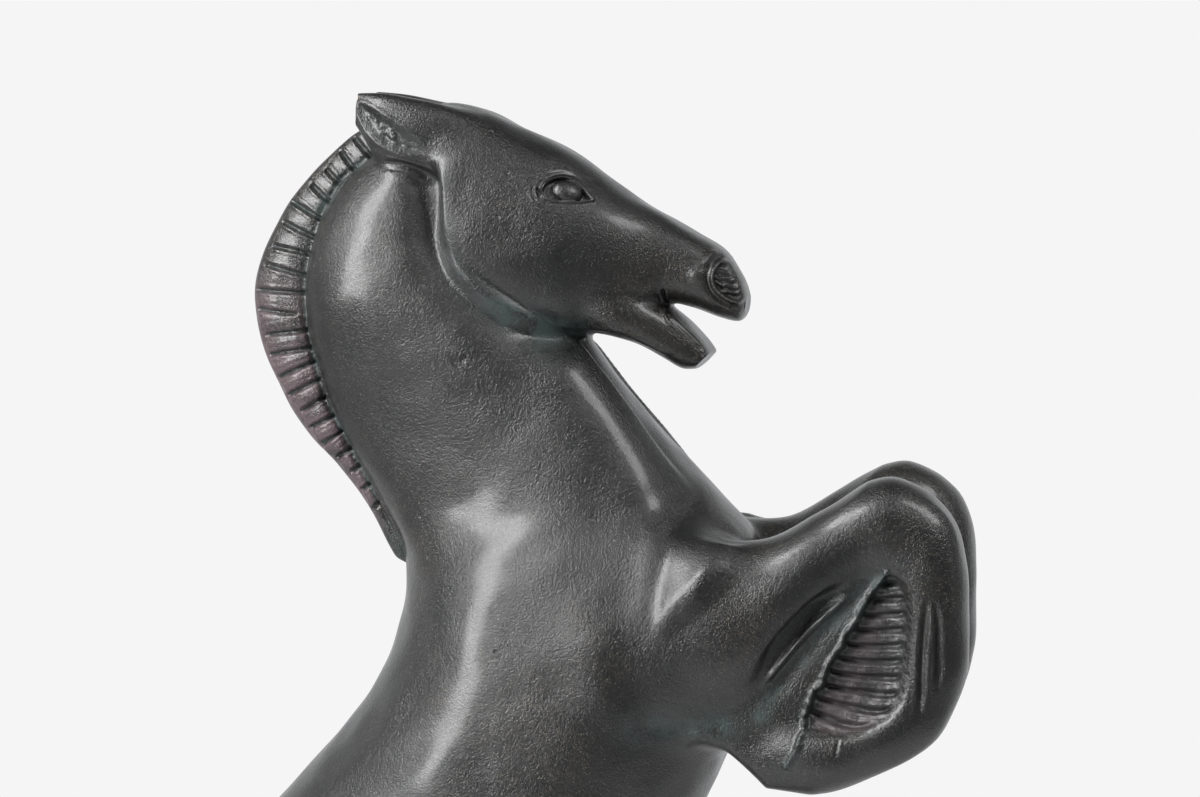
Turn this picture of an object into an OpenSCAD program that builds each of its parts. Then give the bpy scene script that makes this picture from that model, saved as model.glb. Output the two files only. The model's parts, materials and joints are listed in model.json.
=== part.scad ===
// Rearing horse statuette: sectional bronze casting on a stone plinth.
// The horse faces +X, +Y is its left side, +Z is up. The origin is the middle of the felt's underside.

/* [Plinth] */
// Length of the stone plinth along X
plinth_l = 210; // [190:1:240]
// Width of the stone plinth along Y
plinth_w = 116; // [108:1:140]
// Height of the stone plinth
plinth_h = 30; // [24:1:40]
// Chamfer round the plinth's upper and lower edges
plinth_chamfer = 1.6; // [0.5:0.1:3]
// Thickness of the felt under the plinth
felt_t = 2; // [1:0.5:3]

/* [Terrace] */
// Length of the bronze terrace along X
terrace_l = 184; // [176:1:188]
// Width of the bronze terrace along Y
terrace_w = 90; // [84:1:96]
// Height of the terrace from the plinth to the hooves
terrace_h = 8; // [7:1:12]

/* [Horse] */
// How far the horse stands forward of the plinth's middle
stance_x = 10; // [5:1:14]
// Thickness of the hollow castings' bronze wall
wall = 4; // [3:0.5:5]

/* [Joints] */
// Radius of the pins that lock the sleeve joints
pin_r = 1.5; // [1:0.25:2]
// Radius of the sleeve that joins the head to the neck
head_sleeve_r = 9; // [8:0.5:10]
// Radius of the sleeves that join the forelegs
foreleg_sleeve_r = 7; // [5:0.5:8]
// Radius of the sleeves that join the hind legs
hind_sleeve_r = 8; // [6:0.5:9]
// Radius of the sleeve that joins the tail
tail_sleeve_r = 4; // [3:0.5:5]
// Extra radius of the bosses that the sleeves sit in
boss_wall = 3.5; // [2.5:0.5:4]

/* [Fixings] */
// Radius of the studs that hold the bronze to the plinth
stud_r = 3; // [2.5:0.5:4]
// Depth of the recesses for the nuts under the plinth
nut_recess = 12; // [10:1:14]

/* [Hidden] */
bronze = [0.16, 0.17, 0.16];
bright_bronze = [0.62, 0.45, 0.24];
iron = [0.35, 0.30, 0.27];
ground = felt_t + plinth_h + terrace_h;
clear = 0.05;

// A form is a list of stations. Each station is one cross-section:
// [back x, back z, front x, front z, middle y, half width, egg],
// where egg widens the section towards its back edge (or its front edge, when negative).
// The horse's stations are millimetres, with z = 0 at the soles of the hooves.
trunk = [
    [-91, 152, -80, 132, 0, 10, 0],
    [-92, 164, -62, 124, 0, 27, 0],
    [-88, 184, -30, 136, 0, 36, 0],
    [-77, 208, 6, 168, 0, 38, 0],
    [-62, 230, 34, 202, 0, 37, -0.05],
    [-45, 252, 55, 233, 0, 40, -0.08],
    [-28, 271, 70, 260, 0, 41, -0.1],
    [-13, 290, 80, 282, 0, 40, -0.1],
    [-5, 309, 86, 305, 0, 38, -0.12],
    [-4, 325, 85, 327, 0, 33, -0.12],
    [-9, 336, 74, 341, 0, 27, -0.1],
    [-17, 348, 63, 353, 0, 24, -0.08],
    [-23.5, 361, 52, 366, 0, 23, -0.05],
    [-28, 376, 43, 378, 0, 23, 0],
    [-30, 391, 36, 388, 0, 22.5, 0],
    [-27, 406, 29, 402, 0, 20, 0],
    [-19, 419, 22, 416, 0, 16, 0],
    [-9, 427, 14, 427, 0, 9, 0]
];
mane = [
    [-7, 323, -3, 321, 0, 1.5, 0],
    [-14.5, 336, -6, 334, 0, 3.2, -0.3],
    [-21.5, 345.5, -12, 344, 0, 3.8, -0.3],
    [-29, 354, -18, 352, 0, 4.4, -0.3],
    [-35, 363, -21, 362, 0, 5, -0.3],
    [-40.5, 373.5, -24, 374, 0, 5.2, -0.3],
    [-43, 384, -26, 384, 0, 5.4, -0.3],
    [-42.5, 393.5, -26, 392, 0, 5.4, -0.3],
    [-39, 403.5, -24, 400, 0, 5.2, -0.3],
    [-33.5, 413, -20, 407, 0, 5, -0.3],
    [-25.5, 422.5, -15, 415, 0, 4.6, -0.3],
    [-17, 430, -9, 422, 0, 4, -0.3],
    [-8, 433, -3, 427, 0, 3, -0.3]
];
head = [
    [-3, 433, 3, 408, 0, 8, 0],
    [6, 437, 6, 396, 0, 15, -0.05],
    [17, 435.5, 13, 388.5, 0, 18.5, -0.08],
    [27, 430.8, 24, 383.3, 0, 19.5, -0.08],
    [36, 426, 35.5, 380.3, 0, 19.5, -0.05],
    [46, 419.5, 46, 380.5, 0, 17, 0],
    [55, 413.7, 54, 383, 0, 14.5, 0],
    [63, 408.8, 61.5, 387.6, 0, 12.6, 0],
    [70, 404.5, 68, 386.8, 0, 12, 0],
    [76.5, 400.3, 75, 384.2, 0, 11.5, 0],
    [80.5, 394.5, 80, 383.2, 0, 9.5, 0],
    [82.2, 390, 81.8, 385, 0, 5, 0]
];
lower_jaw = [
    [46, 392, 46, 380.5, 0, 13, 0],
    [57, 389, 55, 378, 0, 11, 0],
    [64.5, 385.4, 61.5, 374.3, 0, 9.5, 0],
    [71, 379, 66, 371.6, 0, 8.5, 0],
    [73.8, 375.2, 69.5, 371.6, 0, 7, 0]
];
ear = [
    [-14, 439.7, -15, 431.5, 11.5, 1.6, 0],
    [-7, 439.4, -9, 424.5, 12, 3.8, 0],
    [0, 438.2, 0, 421.5, 11.5, 5, 0],
    [8, 436.3, 9, 420.5, 10, 5.5, 0],
    [16, 433.5, 17, 422, 8, 5, 0]
];
forearm = [
    [38, 329, 30, 299, 24, 10, 0],
    [56, 332, 46, 291, 25.5, 12.5, 0],
    [74, 331.5, 68, 289, 26, 13.2, 0],
    [90, 332, 86, 294, 25.5, 13, 0],
    [103, 339, 100, 311, 24.5, 12, 0],
    [113, 344, 111, 320, 24, 11.5, 0],
    [122, 346.5, 120, 322, 24, 11, 0],
    [130.5, 343.5, 124, 325, 24, 9.5, 0]
];
shin = [
    [127, 344.5, 112, 339, 24, 8, 0],
    [134.5, 337.5, 116, 329, 24, 10.5, 0],
    [137.8, 327, 118, 321, 24, 11, 0],
    [138.2, 309, 119, 309, 24, 10.5, 0],
    [137.3, 298, 116, 298, 24, 10.5, 0],
    [131.5, 284.5, 108, 291, 24, 11, 0],
    [119, 276, 100, 289, 24, 11.5, 0],
    [105, 271.5, 92, 288, 24, 11.5, 0],
    [92.5, 271, 84, 284, 24, 10.5, 0],
    [87.5, 274, 82, 280, 24, 8, 0]
];
hind_leg = [
    [-88, 162, -46, 204, 19, 12, 0],
    [-89, 138, -20, 188, 22, 18, 0],
    [-85, 114, 4, 160, 25, 19.5, 0],
    [-72, 98, 10, 130, 26.5, 16.5, 0],
    [-62, 86, -8, 104, 26.5, 12.5, 0],
    [-62, 73, -29, 83, 25.5, 9.4, 0],
    [-60, 58, -36, 62, 25, 8.4, 0],
    [-51, 45, -33, 48, 25, 7, 0],
    [-41, 31, -25, 35, 25, 6.5, 0],
    [-33, 21, -14, 27, 25, 7.8, 0],
    [-29, 12, -5, 16, 25, 9.2, 0],
    [-31, 0, 5, 0, 25, 11.5, 0]
];
tail = [
    [-88, 164, -83, 152, 0, 5, 0],
    [-98, 167, -93, 150, 0, 7.5, 0],
    [-112, 158, -97, 142, 0, 10, 0],
    [-121, 134, -99, 128, 0, 11.5, 0],
    [-123, 102, -98, 102, 0, 12.5, 0],
    [-118, 66, -93, 68, 0, 12, 0],
    [-108, 35, -85, 38, 0, 10.5, 0],
    [-99, 14, -78, 15, 0, 9, 0],
    [-94, 0, -74, 0, 0, 8.5, 0]
];

// The joint line behind the cheek, then round everything in front of it, as [x, z].
head_block = [
    [0, 445], [1, 425], [4, 410], [7.5, 400], [13, 391], [23, 384], [36, 379.5], [50, 372],
    [100, 366], [100, 445]
];
// How wide the joint block is, wider than the head.
head_block_t = 60;
// The infill between the folded foreleg's forearm and shin, as [x, z].
foreleg_web = [[84, 288], [92, 280], [120, 288], [124, 326], [110, 322]];
foreleg_web_t = 14;
// The sides and the ring count between stations of the trunk, which other castings are cut to fit.
trunk_sides = 28;
trunk_steps = 3;

// Points of the sleeve joints, as [x, y, z] in the horse's own frame, on its left side.
neck_joint = [3, 0, 397];
neck_joint_lean = 38;
foreleg_joint = [70, 24, 310];
hind_leg_joint = [-52, 21, 122];
tail_joint = [-86, 0, 157];
foot_y = 25;
hoof_stud_x = -13;
tail_stud_x = -84;
stud_in_foot = 12;
stud_foot = felt_t + 4;
terrace_corner = 12;
terrace_x = -16;
nut_r = 2 * stud_r - 0.2;
nut_t = 5;
washer_r = nut_r + 0.4;
washer_t = 1.6;
recess_r = nut_r + 2.2;
felt_margin = 4;
// The lengths of the sleeves, and of the head's from one end on its axis to the other.
head_sleeve_ends = [-18, 14];
head_sleeve_wall = 3.5;
foreleg_sleeve_l = 30;
hind_sleeve_l = 34;
tail_sleeve_l = 20;
// Where core pins held the core, as [x, z], plugged on both flanks.
core_holes = [[-44, 218], [-6, 240]];
core_plug_r = 3;

// The item at an index, held inside the list.
function item(list, i) = list[max(0, min(len(list) - 1, i))];

// The Catmull-Rom curve through b and c, at t from 0 to 1.
function between(a, b, c, d, t) =
    0.5 * (2 * b + (c - a) * t + (2 * a - 5 * b + 4 * c - d) * t * t + (3 * b - a - 3 * c + d) * t * t * t);

// The stations with extra ones worked out between each pair.
function eased(list, steps) = [
    for (i = [0 : len(list) - 2], k = [0 : steps - 1])
        between(item(list, i - 1), list[i], list[i + 1], item(list, i + 2), k / steps),
    list[len(list) - 1]
];

// The stations drawn in by a distance on every side.
function drawn_in(list, d) = [
    for (s = list)
        let (across = [s[2] - s[0], s[3] - s[1]], step = d * across / norm(across))
            [s[0] + step[0], s[1] + step[1], s[2] - step[0], s[3] - step[1], s[4], s[5] - d, s[6]]
];

// The stations of the same limb on the other side of the horse.
function on_side(list, side) = [for (s = list) [s[0], s[1], s[2], s[3], side * s[4], s[5], s[6]]];

// A point of the horse's left side, on one side or the other.
function sided(point, side) = [point[0], side * point[1], point[2]];

// The stations from one index to another.
function part_of(list, first, last) = [for (i = [first : last]) list[i]];

// A cosine or sine made fuller than a circle's, by a power below 1.
function fuller(v, power) = sign(v) * pow(abs(v), power);

// The points of one cross-section.
function ring(s, sides, power) = [
    for (k = [0 : sides - 1])
        let (u = fuller(cos(360 * k / sides), power), v = fuller(sin(360 * k / sides), power))
            [(s[0] + s[2] + u * (s[0] - s[2])) / 2,
             s[4] + v * s[5] * (1 + s[6] * u),
             (s[1] + s[3] + u * (s[1] - s[3])) / 2]
];

// A closed solid through a list of stations, as they stand.
module skin(list, sides, power) {
    n = len(list);
    a = list[0];
    b = list[1];
    turn = (a[2] - a[0]) * (b[1] + b[3] - a[1] - a[3]) - (a[3] - a[1]) * (b[0] + b[2] - a[0] - a[2]);
    walls = [
        for (i = [0 : n - 2], k = [0 : sides - 1])
            let (j = (k + 1) % sides)
                each [[i * sides + k, i * sides + j, (i + 1) * sides + j],
                      [i * sides + k, (i + 1) * sides + j, (i + 1) * sides + k]]
    ];
    ends = [[for (k = [sides - 1 : -1 : 0]) k], [for (k = [0 : sides - 1]) (n - 1) * sides + k]];
    faces = concat(walls, ends);
    polyhedron(
        [for (s = list) each ring(s, sides, power)],
        turn > 0 ? faces : [for (f = faces) [for (i = [len(f) - 1 : -1 : 0]) f[i]]]
    );
}

// A closed solid through a list of stations, with curves between them.
module form(stations, sides = 24, steps = 3, power = 0.9) {
    skin(eased(stations, steps), sides, power);
}

// A plate of an [x, z] outline, centred on y.
module plate(outline, y, thickness) {
    translate([0, y + thickness / 2, 0]) rotate([90, 0, 0]) linear_extrude(thickness) polygon(outline);
}

// Sets the horse's own frame on the terrace.
module on_terrace() {
    translate([stance_x, 0, ground]) children();
}

// Draws what is on the horse's left side again on its right side.
module both_sides() {
    children();
    mirror([0, 1, 0]) children();
}

// A rod along Y, centred on a point.
module rod_y(at, r, length) {
    translate(at) rotate([90, 0, 0]) cylinder(r = r, h = length, center = true, $fn = 48);
}

// A rod along Z, from a point upwards.
module rod_z(at, r, length) {
    translate(at) cylinder(r = r, h = length, $fn = 48);
}

// A rod along X, centred on a point.
module rod_x(at, r, length) {
    translate(at) rotate([0, 90, 0]) cylinder(r = r, h = length, center = true, $fn = 48);
}

// A rod along the lean of the neck joint, from one place on its axis to another.
module neck_rod(r, from, to) {
    translate(neck_joint) rotate([0, neck_joint_lean, 0])
        translate([0, 0, from]) cylinder(r = r, h = to - from, $fn = 48);
}

// The sleeves, made larger by a clearance for the bores that they sit in.
module head_sleeve(gap = 0) {
    neck_rod(head_sleeve_r + gap, head_sleeve_ends[0], head_sleeve_ends[1]);
}

module foreleg_sleeve(side, gap = 0) {
    rod_x(sided(foreleg_joint, side), foreleg_sleeve_r + gap, foreleg_sleeve_l);
}

module hind_leg_sleeve(side, gap = 0) {
    rod_z(sided(hind_leg_joint, side), hind_sleeve_r + gap, hind_sleeve_l);
}

module tail_sleeve(gap = 0) {
    rod_x(tail_joint, tail_sleeve_r + gap, tail_sleeve_l);
}

// The pins that lock the sleeves, made larger by a clearance for the holes that they sit in.
module head_pins(gap = 0) {
    for (along = [-13, -6])
        translate(neck_joint) rotate([0, neck_joint_lean, 0])
            rod_y([0, 0, along], pin_r + gap, 2 * (head_sleeve_r + boss_wall));
}

module foreleg_pin(side, gap = 0) {
    inner = foreleg_joint[0] - foreleg_sleeve_l / 2 + 6;
    half = foreleg_sleeve_r + boss_wall - 0.5;
    rod_z([inner, side * foreleg_joint[1], foreleg_joint[2] - half], pin_r + gap, 2 * half);
}

module hind_leg_pin(side, gap = 0) {
    top = hind_leg_joint[2] + hind_sleeve_l - 8;
    rod_y([hind_leg_joint[0], side * hind_leg_joint[1], top], pin_r + gap, 2 * hind_sleeve_r + 3);
}

module tail_pin(gap = 0) {
    inner = tail_joint[0] + tail_sleeve_l / 2 - 5;
    rod_y([inner, 0, tail_joint[2]], pin_r + gap, 2 * tail_sleeve_r + 6);
}

// The trunk's outer shape from one station to another, the same surface whichever stretch is drawn.
module trunk_form(first = 0, last = len(trunk) - 1) {
    list = eased(trunk, trunk_steps);
    skin(part_of(list, first * trunk_steps, last * trunk_steps), trunk_sides, 0.9);
}

// The trunk's hollow, over the same kind of stretch.
module trunk_core(first = 3, last = 15) {
    list = eased(drawn_in(trunk, wall), 2);
    skin(part_of(list, first * 2, last * 2), 20, 0.9);
}

module foreleg_form(side) {
    form(on_side(forearm, side), 20, 3);
    form(on_side(shin, side), 20, 3);
    plate(foreleg_web, side * (foot_y - 1), foreleg_web_t);
}

module core_rods(gap = 0) {
    for (hole = core_holes)
        both_sides() rod_y([hole[0], 36, hole[1]], core_plug_r + gap, 22);
}

module body_casting() {
    boss_r = foreleg_sleeve_r + boss_wall;
    color(bronze) on_terrace() difference() {
        union() {
            trunk_form();
            form(mane, 12, 2);
        }
        difference() {
            trunk_core();
            neck_rod(head_sleeve_r + boss_wall, head_sleeve_ends[0] + 1, 0);
            for (side = [-1, 1])
                rod_x(sided(foreleg_joint, side) - [4, 0, 0], boss_r, foreleg_sleeve_l);
        }
        plate(head_block, 0, head_block_t);
        head_sleeve(clear);
        head_pins(clear);
        tail_sleeve(clear);
        tail_pin(clear);
        for (side = [-1, 1]) {
            foreleg_sleeve(side, clear);
            foreleg_pin(side, clear);
            hind_leg_sleeve(side, clear);
            hind_leg_pin(side, clear);
        }
        core_rods(clear);
    }
}

module head_casting() {
    color(bronze) on_terrace() difference() {
        union() {
            intersection() {
                union() {
                    form(head, 28, 3, 0.8);
                    form(lower_jaw, 20, 2, 0.8);
                    trunk_form(13);
                }
                plate(head_block, 0, head_block_t);
            }
            for (side = [-1, 1])
                form(on_side(ear, side), 14, 3);
            head_sleeve();
        }
        form(drawn_in(part_of(head, 1, 7), wall), 16, 2);
        neck_rod(head_sleeve_r - head_sleeve_wall, head_sleeve_ends[0] - 1, head_sleeve_ends[1] + 2);
        head_pins(clear);
    }
}

module foreleg_casting(side) {
    color(bronze) on_terrace() difference() {
        union() {
            difference() {
                foreleg_form(side);
                trunk_form(4, 11);
            }
            foreleg_sleeve(side);
        }
        foreleg_pin(side, clear);
    }
}

module stud_hole(x, side) {
    rod_z([x, side * foot_y, -1], stud_r, stud_in_foot + 1);
}

module hind_leg_casting(side) {
    color(bronze) on_terrace() difference() {
        union() {
            difference() {
                form(on_side(hind_leg, side), 24, 3);
                trunk_form(0, 6);
            }
            hind_leg_sleeve(side);
        }
        hind_leg_pin(side, clear);
        stud_hole(hoof_stud_x, side);
    }
}

module tail_casting() {
    color(bronze) on_terrace() difference() {
        union() {
            difference() {
                form(tail, 20, 3);
                trunk_form(0, 3);
            }
            tail_sleeve();
        }
        tail_pin(clear);
        stud_hole(tail_stud_x, 0);
    }
}

module head_joint_pins() {
    color(bright_bronze) on_terrace() head_pins();
}

module foreleg_joint_pins() {
    color(bright_bronze) on_terrace() both_sides() foreleg_pin(1);
}

module hind_leg_joint_pins() {
    color(bright_bronze) on_terrace() both_sides() hind_leg_pin(1);
}

module tail_joint_pin() {
    color(bright_bronze) on_terrace() tail_pin();
}

module core_hole_plugs() {
    color(bright_bronze) on_terrace() difference() {
        intersection() {
            trunk_form(2, 6);
            core_rods();
        }
        trunk_core(3, 6);
    }
}

// Where the studs stand, in the statuette's frame.
module at_studs() {
    for (side = [-1, 1])
        translate([stance_x + hoof_stud_x, side * foot_y, 0]) children();
    translate([stance_x + tail_stud_x, 0, 0]) children();
}

module stud() {
    translate([0, 0, stud_foot]) cylinder(r = stud_r, h = ground + stud_in_foot - stud_foot, $fn = 48);
}

module hoof_studs() {
    color(iron) for (side = [-1, 1])
        translate([stance_x + hoof_stud_x, side * foot_y, 0]) stud();
}

module tail_stud() {
    color(iron) translate([stance_x + tail_stud_x, 0, 0]) stud();
}

module terrace_casting() {
    inner_l = terrace_l - 2 * terrace_corner;
    inner_w = terrace_w - 2 * terrace_corner;
    color(bronze) difference() {
        translate([stance_x + terrace_x, 0, felt_t + plinth_h]) linear_extrude(terrace_h) {
            square([inner_l, terrace_w], center = true);
            square([terrace_l, inner_w], center = true);
            for (x = [-1, 1], y = [-1, 1])
                translate([x * inner_l / 2, y * inner_w / 2]) circle(r = terrace_corner, $fn = 64);
        }
        at_studs() cylinder(r = stud_r, h = ground + 1, $fn = 48);
    }
}

// The plinth's end outline for a width, with its chamfers, anticlockwise from the lower right.
function chamfered(width) = [
    for (corner = [[1, 0], [1, 1], [-1, 1], [-1, 0]], end = [0, 1])
        let (upright = (corner[0] * (corner[1] - 0.5) > 0) == (end == 0))
            [corner[0] * (width / 2 - (upright ? 0 : plinth_chamfer)),
             corner[1] * plinth_h + (upright ? 1 : 0) * (1 - 2 * corner[1]) * plinth_chamfer]
];

// A bar along Y with that outline, as long as the plinth either way.
module chamfered_bar(width) {
    translate([0, plinth_l, felt_t]) rotate([90, 0, 0])
        linear_extrude(2 * plinth_l) polygon(chamfered(width));
}

module stone_plinth() {
    color([0.06, 0.06, 0.065]) difference() {
        intersection() {
            chamfered_bar(plinth_l);
            rotate([0, 0, 90]) chamfered_bar(plinth_w);
        }
        at_studs() cylinder(r = stud_r + 0.5, h = ground, $fn = 48);
        at_studs() cylinder(r = recess_r, h = felt_t + nut_recess, $fn = 48);
    }
}

module plinth_washers() {
    color(iron) at_studs() translate([0, 0, felt_t + nut_recess - washer_t]) difference() {
        cylinder(r = washer_r, h = washer_t, $fn = 48);
        translate([0, 0, -1]) cylinder(r = stud_r + 0.2, h = washer_t + 2, $fn = 48);
    }
}

module plinth_nuts() {
    color(iron) at_studs() translate([0, 0, felt_t + nut_recess - washer_t - nut_t]) difference() {
        cylinder(r = nut_r, h = nut_t, $fn = 6);
        translate([0, 0, -1]) cylinder(r = stud_r, h = nut_t + 2, $fn = 48);
    }
}

module felt_pad() {
    size = [plinth_l - 2 * felt_margin, plinth_w - 2 * felt_margin, felt_t];
    color([0.05, 0.16, 0.10]) translate([-size[0] / 2, -size[1] / 2, 0]) cube(size);
}

body_casting();
head_casting();
foreleg_casting(1);  // left_foreleg_casting
foreleg_casting(-1);  // right_foreleg_casting
hind_leg_casting(1);  // left_hind_leg_casting
hind_leg_casting(-1);  // right_hind_leg_casting
tail_casting();
terrace_casting();
head_joint_pins();
foreleg_joint_pins();
hind_leg_joint_pins();
tail_joint_pin();
core_hole_plugs();
hoof_studs();
tail_stud();
stone_plinth();
plinth_washers();
plinth_nuts();
felt_pad();
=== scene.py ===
import json
import logging
import math
from dataclasses import dataclass, field
from enum import Enum
from typing import ClassVar, Sequence

import bpy
import numpy as np
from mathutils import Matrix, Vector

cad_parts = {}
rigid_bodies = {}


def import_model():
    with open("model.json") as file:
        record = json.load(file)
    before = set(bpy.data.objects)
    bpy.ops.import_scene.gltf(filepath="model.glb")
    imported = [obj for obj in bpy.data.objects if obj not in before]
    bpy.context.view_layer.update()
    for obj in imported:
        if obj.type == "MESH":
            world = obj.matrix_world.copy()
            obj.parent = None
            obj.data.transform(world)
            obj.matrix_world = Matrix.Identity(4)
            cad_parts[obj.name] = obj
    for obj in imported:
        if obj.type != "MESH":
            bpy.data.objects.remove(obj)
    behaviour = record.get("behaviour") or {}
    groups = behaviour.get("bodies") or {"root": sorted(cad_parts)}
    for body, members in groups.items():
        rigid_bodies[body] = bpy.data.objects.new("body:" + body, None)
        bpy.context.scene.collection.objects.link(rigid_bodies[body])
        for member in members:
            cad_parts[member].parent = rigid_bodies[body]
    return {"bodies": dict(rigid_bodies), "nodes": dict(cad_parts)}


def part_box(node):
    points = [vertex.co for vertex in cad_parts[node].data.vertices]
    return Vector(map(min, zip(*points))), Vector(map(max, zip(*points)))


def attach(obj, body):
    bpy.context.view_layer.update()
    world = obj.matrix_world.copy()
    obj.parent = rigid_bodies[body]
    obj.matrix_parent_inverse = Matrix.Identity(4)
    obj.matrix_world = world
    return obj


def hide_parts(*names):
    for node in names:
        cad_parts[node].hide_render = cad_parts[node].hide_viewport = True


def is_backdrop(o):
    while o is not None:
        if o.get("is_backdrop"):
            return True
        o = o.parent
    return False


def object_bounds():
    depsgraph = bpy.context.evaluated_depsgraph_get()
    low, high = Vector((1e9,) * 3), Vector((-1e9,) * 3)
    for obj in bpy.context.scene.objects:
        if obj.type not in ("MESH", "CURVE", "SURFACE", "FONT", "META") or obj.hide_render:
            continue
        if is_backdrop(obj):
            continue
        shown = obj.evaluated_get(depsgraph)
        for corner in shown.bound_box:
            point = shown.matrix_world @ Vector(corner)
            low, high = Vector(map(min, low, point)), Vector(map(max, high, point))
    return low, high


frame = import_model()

import openvdb as vdb
from mathutils import Vector

Array = np.ndarray
Point = tuple[float, float]
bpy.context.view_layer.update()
MM = 0.001
CREST_LENGTH = 135.0
NOTCH_PITCH = 5.4
COLLAR_HEIGHT = 323.0
COLLAR_SLOPE = 0.25
CAP_DEPTH = 2.0
TAIL_STUD_TO_ZERO = 84.0
FULL_STEP = 0.9
COARSE_STEP = 1.2
TERRACE_COARSER = 1.25
log = logging.getLogger("statuette")


# ---------------------------------------------------------------- small maths


def smooth(low: float, high: float, value: Array) -> Array:
    """A smooth ramp: 3t² - 2t³, where t goes from 0 at low to 1 at high.

    Args:
        low: The value at which the ramp is 0.
        high: The value at which the ramp is 1. It may be below low.
        value: Where to work the ramp out.

    Returns:
        The ramp, from 0 to 1.
    """
    t = np.clip((value - low) / (high - low), 0.0, 1.0)
    return t * t * (3.0 - 2.0 * t)


def hump(distance: Array, width: float) -> Array:
    """A bell curve: e to the power of minus (distance / width) squared.

    Args:
        distance: Distance from the bell's middle.
        width: Distance at which the bell has fallen to 1/e.

    Returns:
        The bell, 1 at the middle.
    """
    return np.exp(-np.square(distance / width))


def waves(points: Array, scale: float, seed: int) -> Array:
    """Soft irregular waves: the mean of twelve sines in fixed pseudo-random directions.

    Args:
        points: Places, in millimetres, one row each.
        scale: About how far it is from crest to crest.
        seed: Which set of directions to use.

    Returns:
        Values of about -1 to 1, one for each point.
    """
    chance = np.random.default_rng(seed)
    ways = chance.normal(size=(12, 3))
    ways /= np.linalg.norm(ways, axis=1, keepdims=True)
    ways *= (2.0 * math.pi / scale) * chance.uniform(0.7, 1.4, size=(12, 1))
    return np.sin(points @ ways.T + chance.uniform(0.0, 6.28, 12)).sum(axis=1) / 4.0


@dataclass(frozen=True)
class Path:
    """A line drawn on the side of the horse, as [x, z] points in millimetres."""

    points: tuple[Point, ...]
    closed: bool = False

    def eased(self, steps: int = 5) -> "Path":
        """The path on Catmull-Rom curves through its points.

        A stretch from b to c, with a before it and d after it, is half of 2b + (c - a)t +
        (2a - 5b + 4c - d)t² + (3b - a - 3c + d)t³, with t from 0 to 1.

        Args:
            steps: How many straight steps make one stretch.

        Returns:
            The finer path.
        """
        p = np.array(self.points, dtype=float)
        if self.closed:
            a, b, c, d = np.roll(p, 1, 0), p, np.roll(p, -1, 0), np.roll(p, -2, 0)
        else:
            a, b, c, d = np.vstack([p[:1], p[:-2]]), p[:-1], p[1:], np.vstack([p[2:], p[-1:]])
        t = (np.arange(steps) / steps)[None, :, None]
        a, b, c, d = (v[:, None, :] for v in (a, b, c, d))
        curve = 2 * b + (c - a) * t + (2 * a - 5 * b + 4 * c - d) * t**2 + (3 * b - a - 3 * c + d) * t**3
        spots = 0.5 * curve.reshape(-1, 2)
        spots = spots if self.closed else np.vstack([spots, p[-1:]])
        return Path(tuple((float(x), float(z)) for x, z in spots), self.closed)

    def measure(self, x: Array, z: Array) -> tuple[Array, Array, Array]:
        """The nearest place on the path for each point, over all its straight stretches.

        Args:
            x: Horizontal places of the points.
            z: Heights of the points.

        Returns:
            The distance, the length along the path from 0 to 1, and the side: 1 on the left of the
            path's direction as seen with x to the right, -1 on its right.
        """
        line = np.array(self.points + (self.points[:1] if self.closed else ()), dtype=np.float32)
        start, run = line[:-1], np.diff(line, axis=0)
        length = np.linalg.norm(run, axis=1)
        before = np.concatenate([[0.0], np.cumsum(length)[:-1]])
        best = np.full(x.shape, 1e9, dtype=np.float32)
        along = np.zeros_like(best)
        side = np.ones_like(best)
        for k in range(len(run)):
            dx, dz = x - start[k, 0], z - start[k, 1]
            t = np.clip((dx * run[k, 0] + dz * run[k, 1]) / length[k] ** 2, 0.0, 1.0)
            gap = np.hypot(dx - t * run[k, 0], dz - t * run[k, 1])
            near = gap < best
            best = np.where(near, gap, best)
            along = np.where(near, (before[k] + t * length[k]) / length.sum(), along)
            side = np.where(near, np.sign(run[k, 0] * dz - run[k, 1] * dx + 1e-9), side)
        return best, along, side

    def holds(self, x: Array, z: Array) -> Array:
        """Whether each point is inside the closed path, by counting the crossings of a level line.

        Args:
            x: Horizontal places of the points.
            z: Heights of the points.

        Returns:
            True where the point is inside.
        """
        line = np.array(self.points)
        inside = np.zeros(x.shape, dtype=bool)
        for (x0, z0), (x1, z1) in zip(line, np.roll(line, -1, axis=0)):
            spans = (z0 > z) != (z1 > z)
            inside ^= spans & (x < (x1 - x0) * (z - z0) / (z1 - z0 + 1e-12) + x0)
        return inside

    def signed(self, x: Array, z: Array) -> Array:
        """Distance to a closed path, negative inside.

        Args:
            x: Horizontal places of the points.
            z: Heights of the points.

        Returns:
            The signed distance.
        """
        gap = Path(self.points, True).measure(x, z)[0]
        return np.where(self.holds(x, z), -gap, gap)


# ---------------------------------------------------------------- solids of the horse


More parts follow.
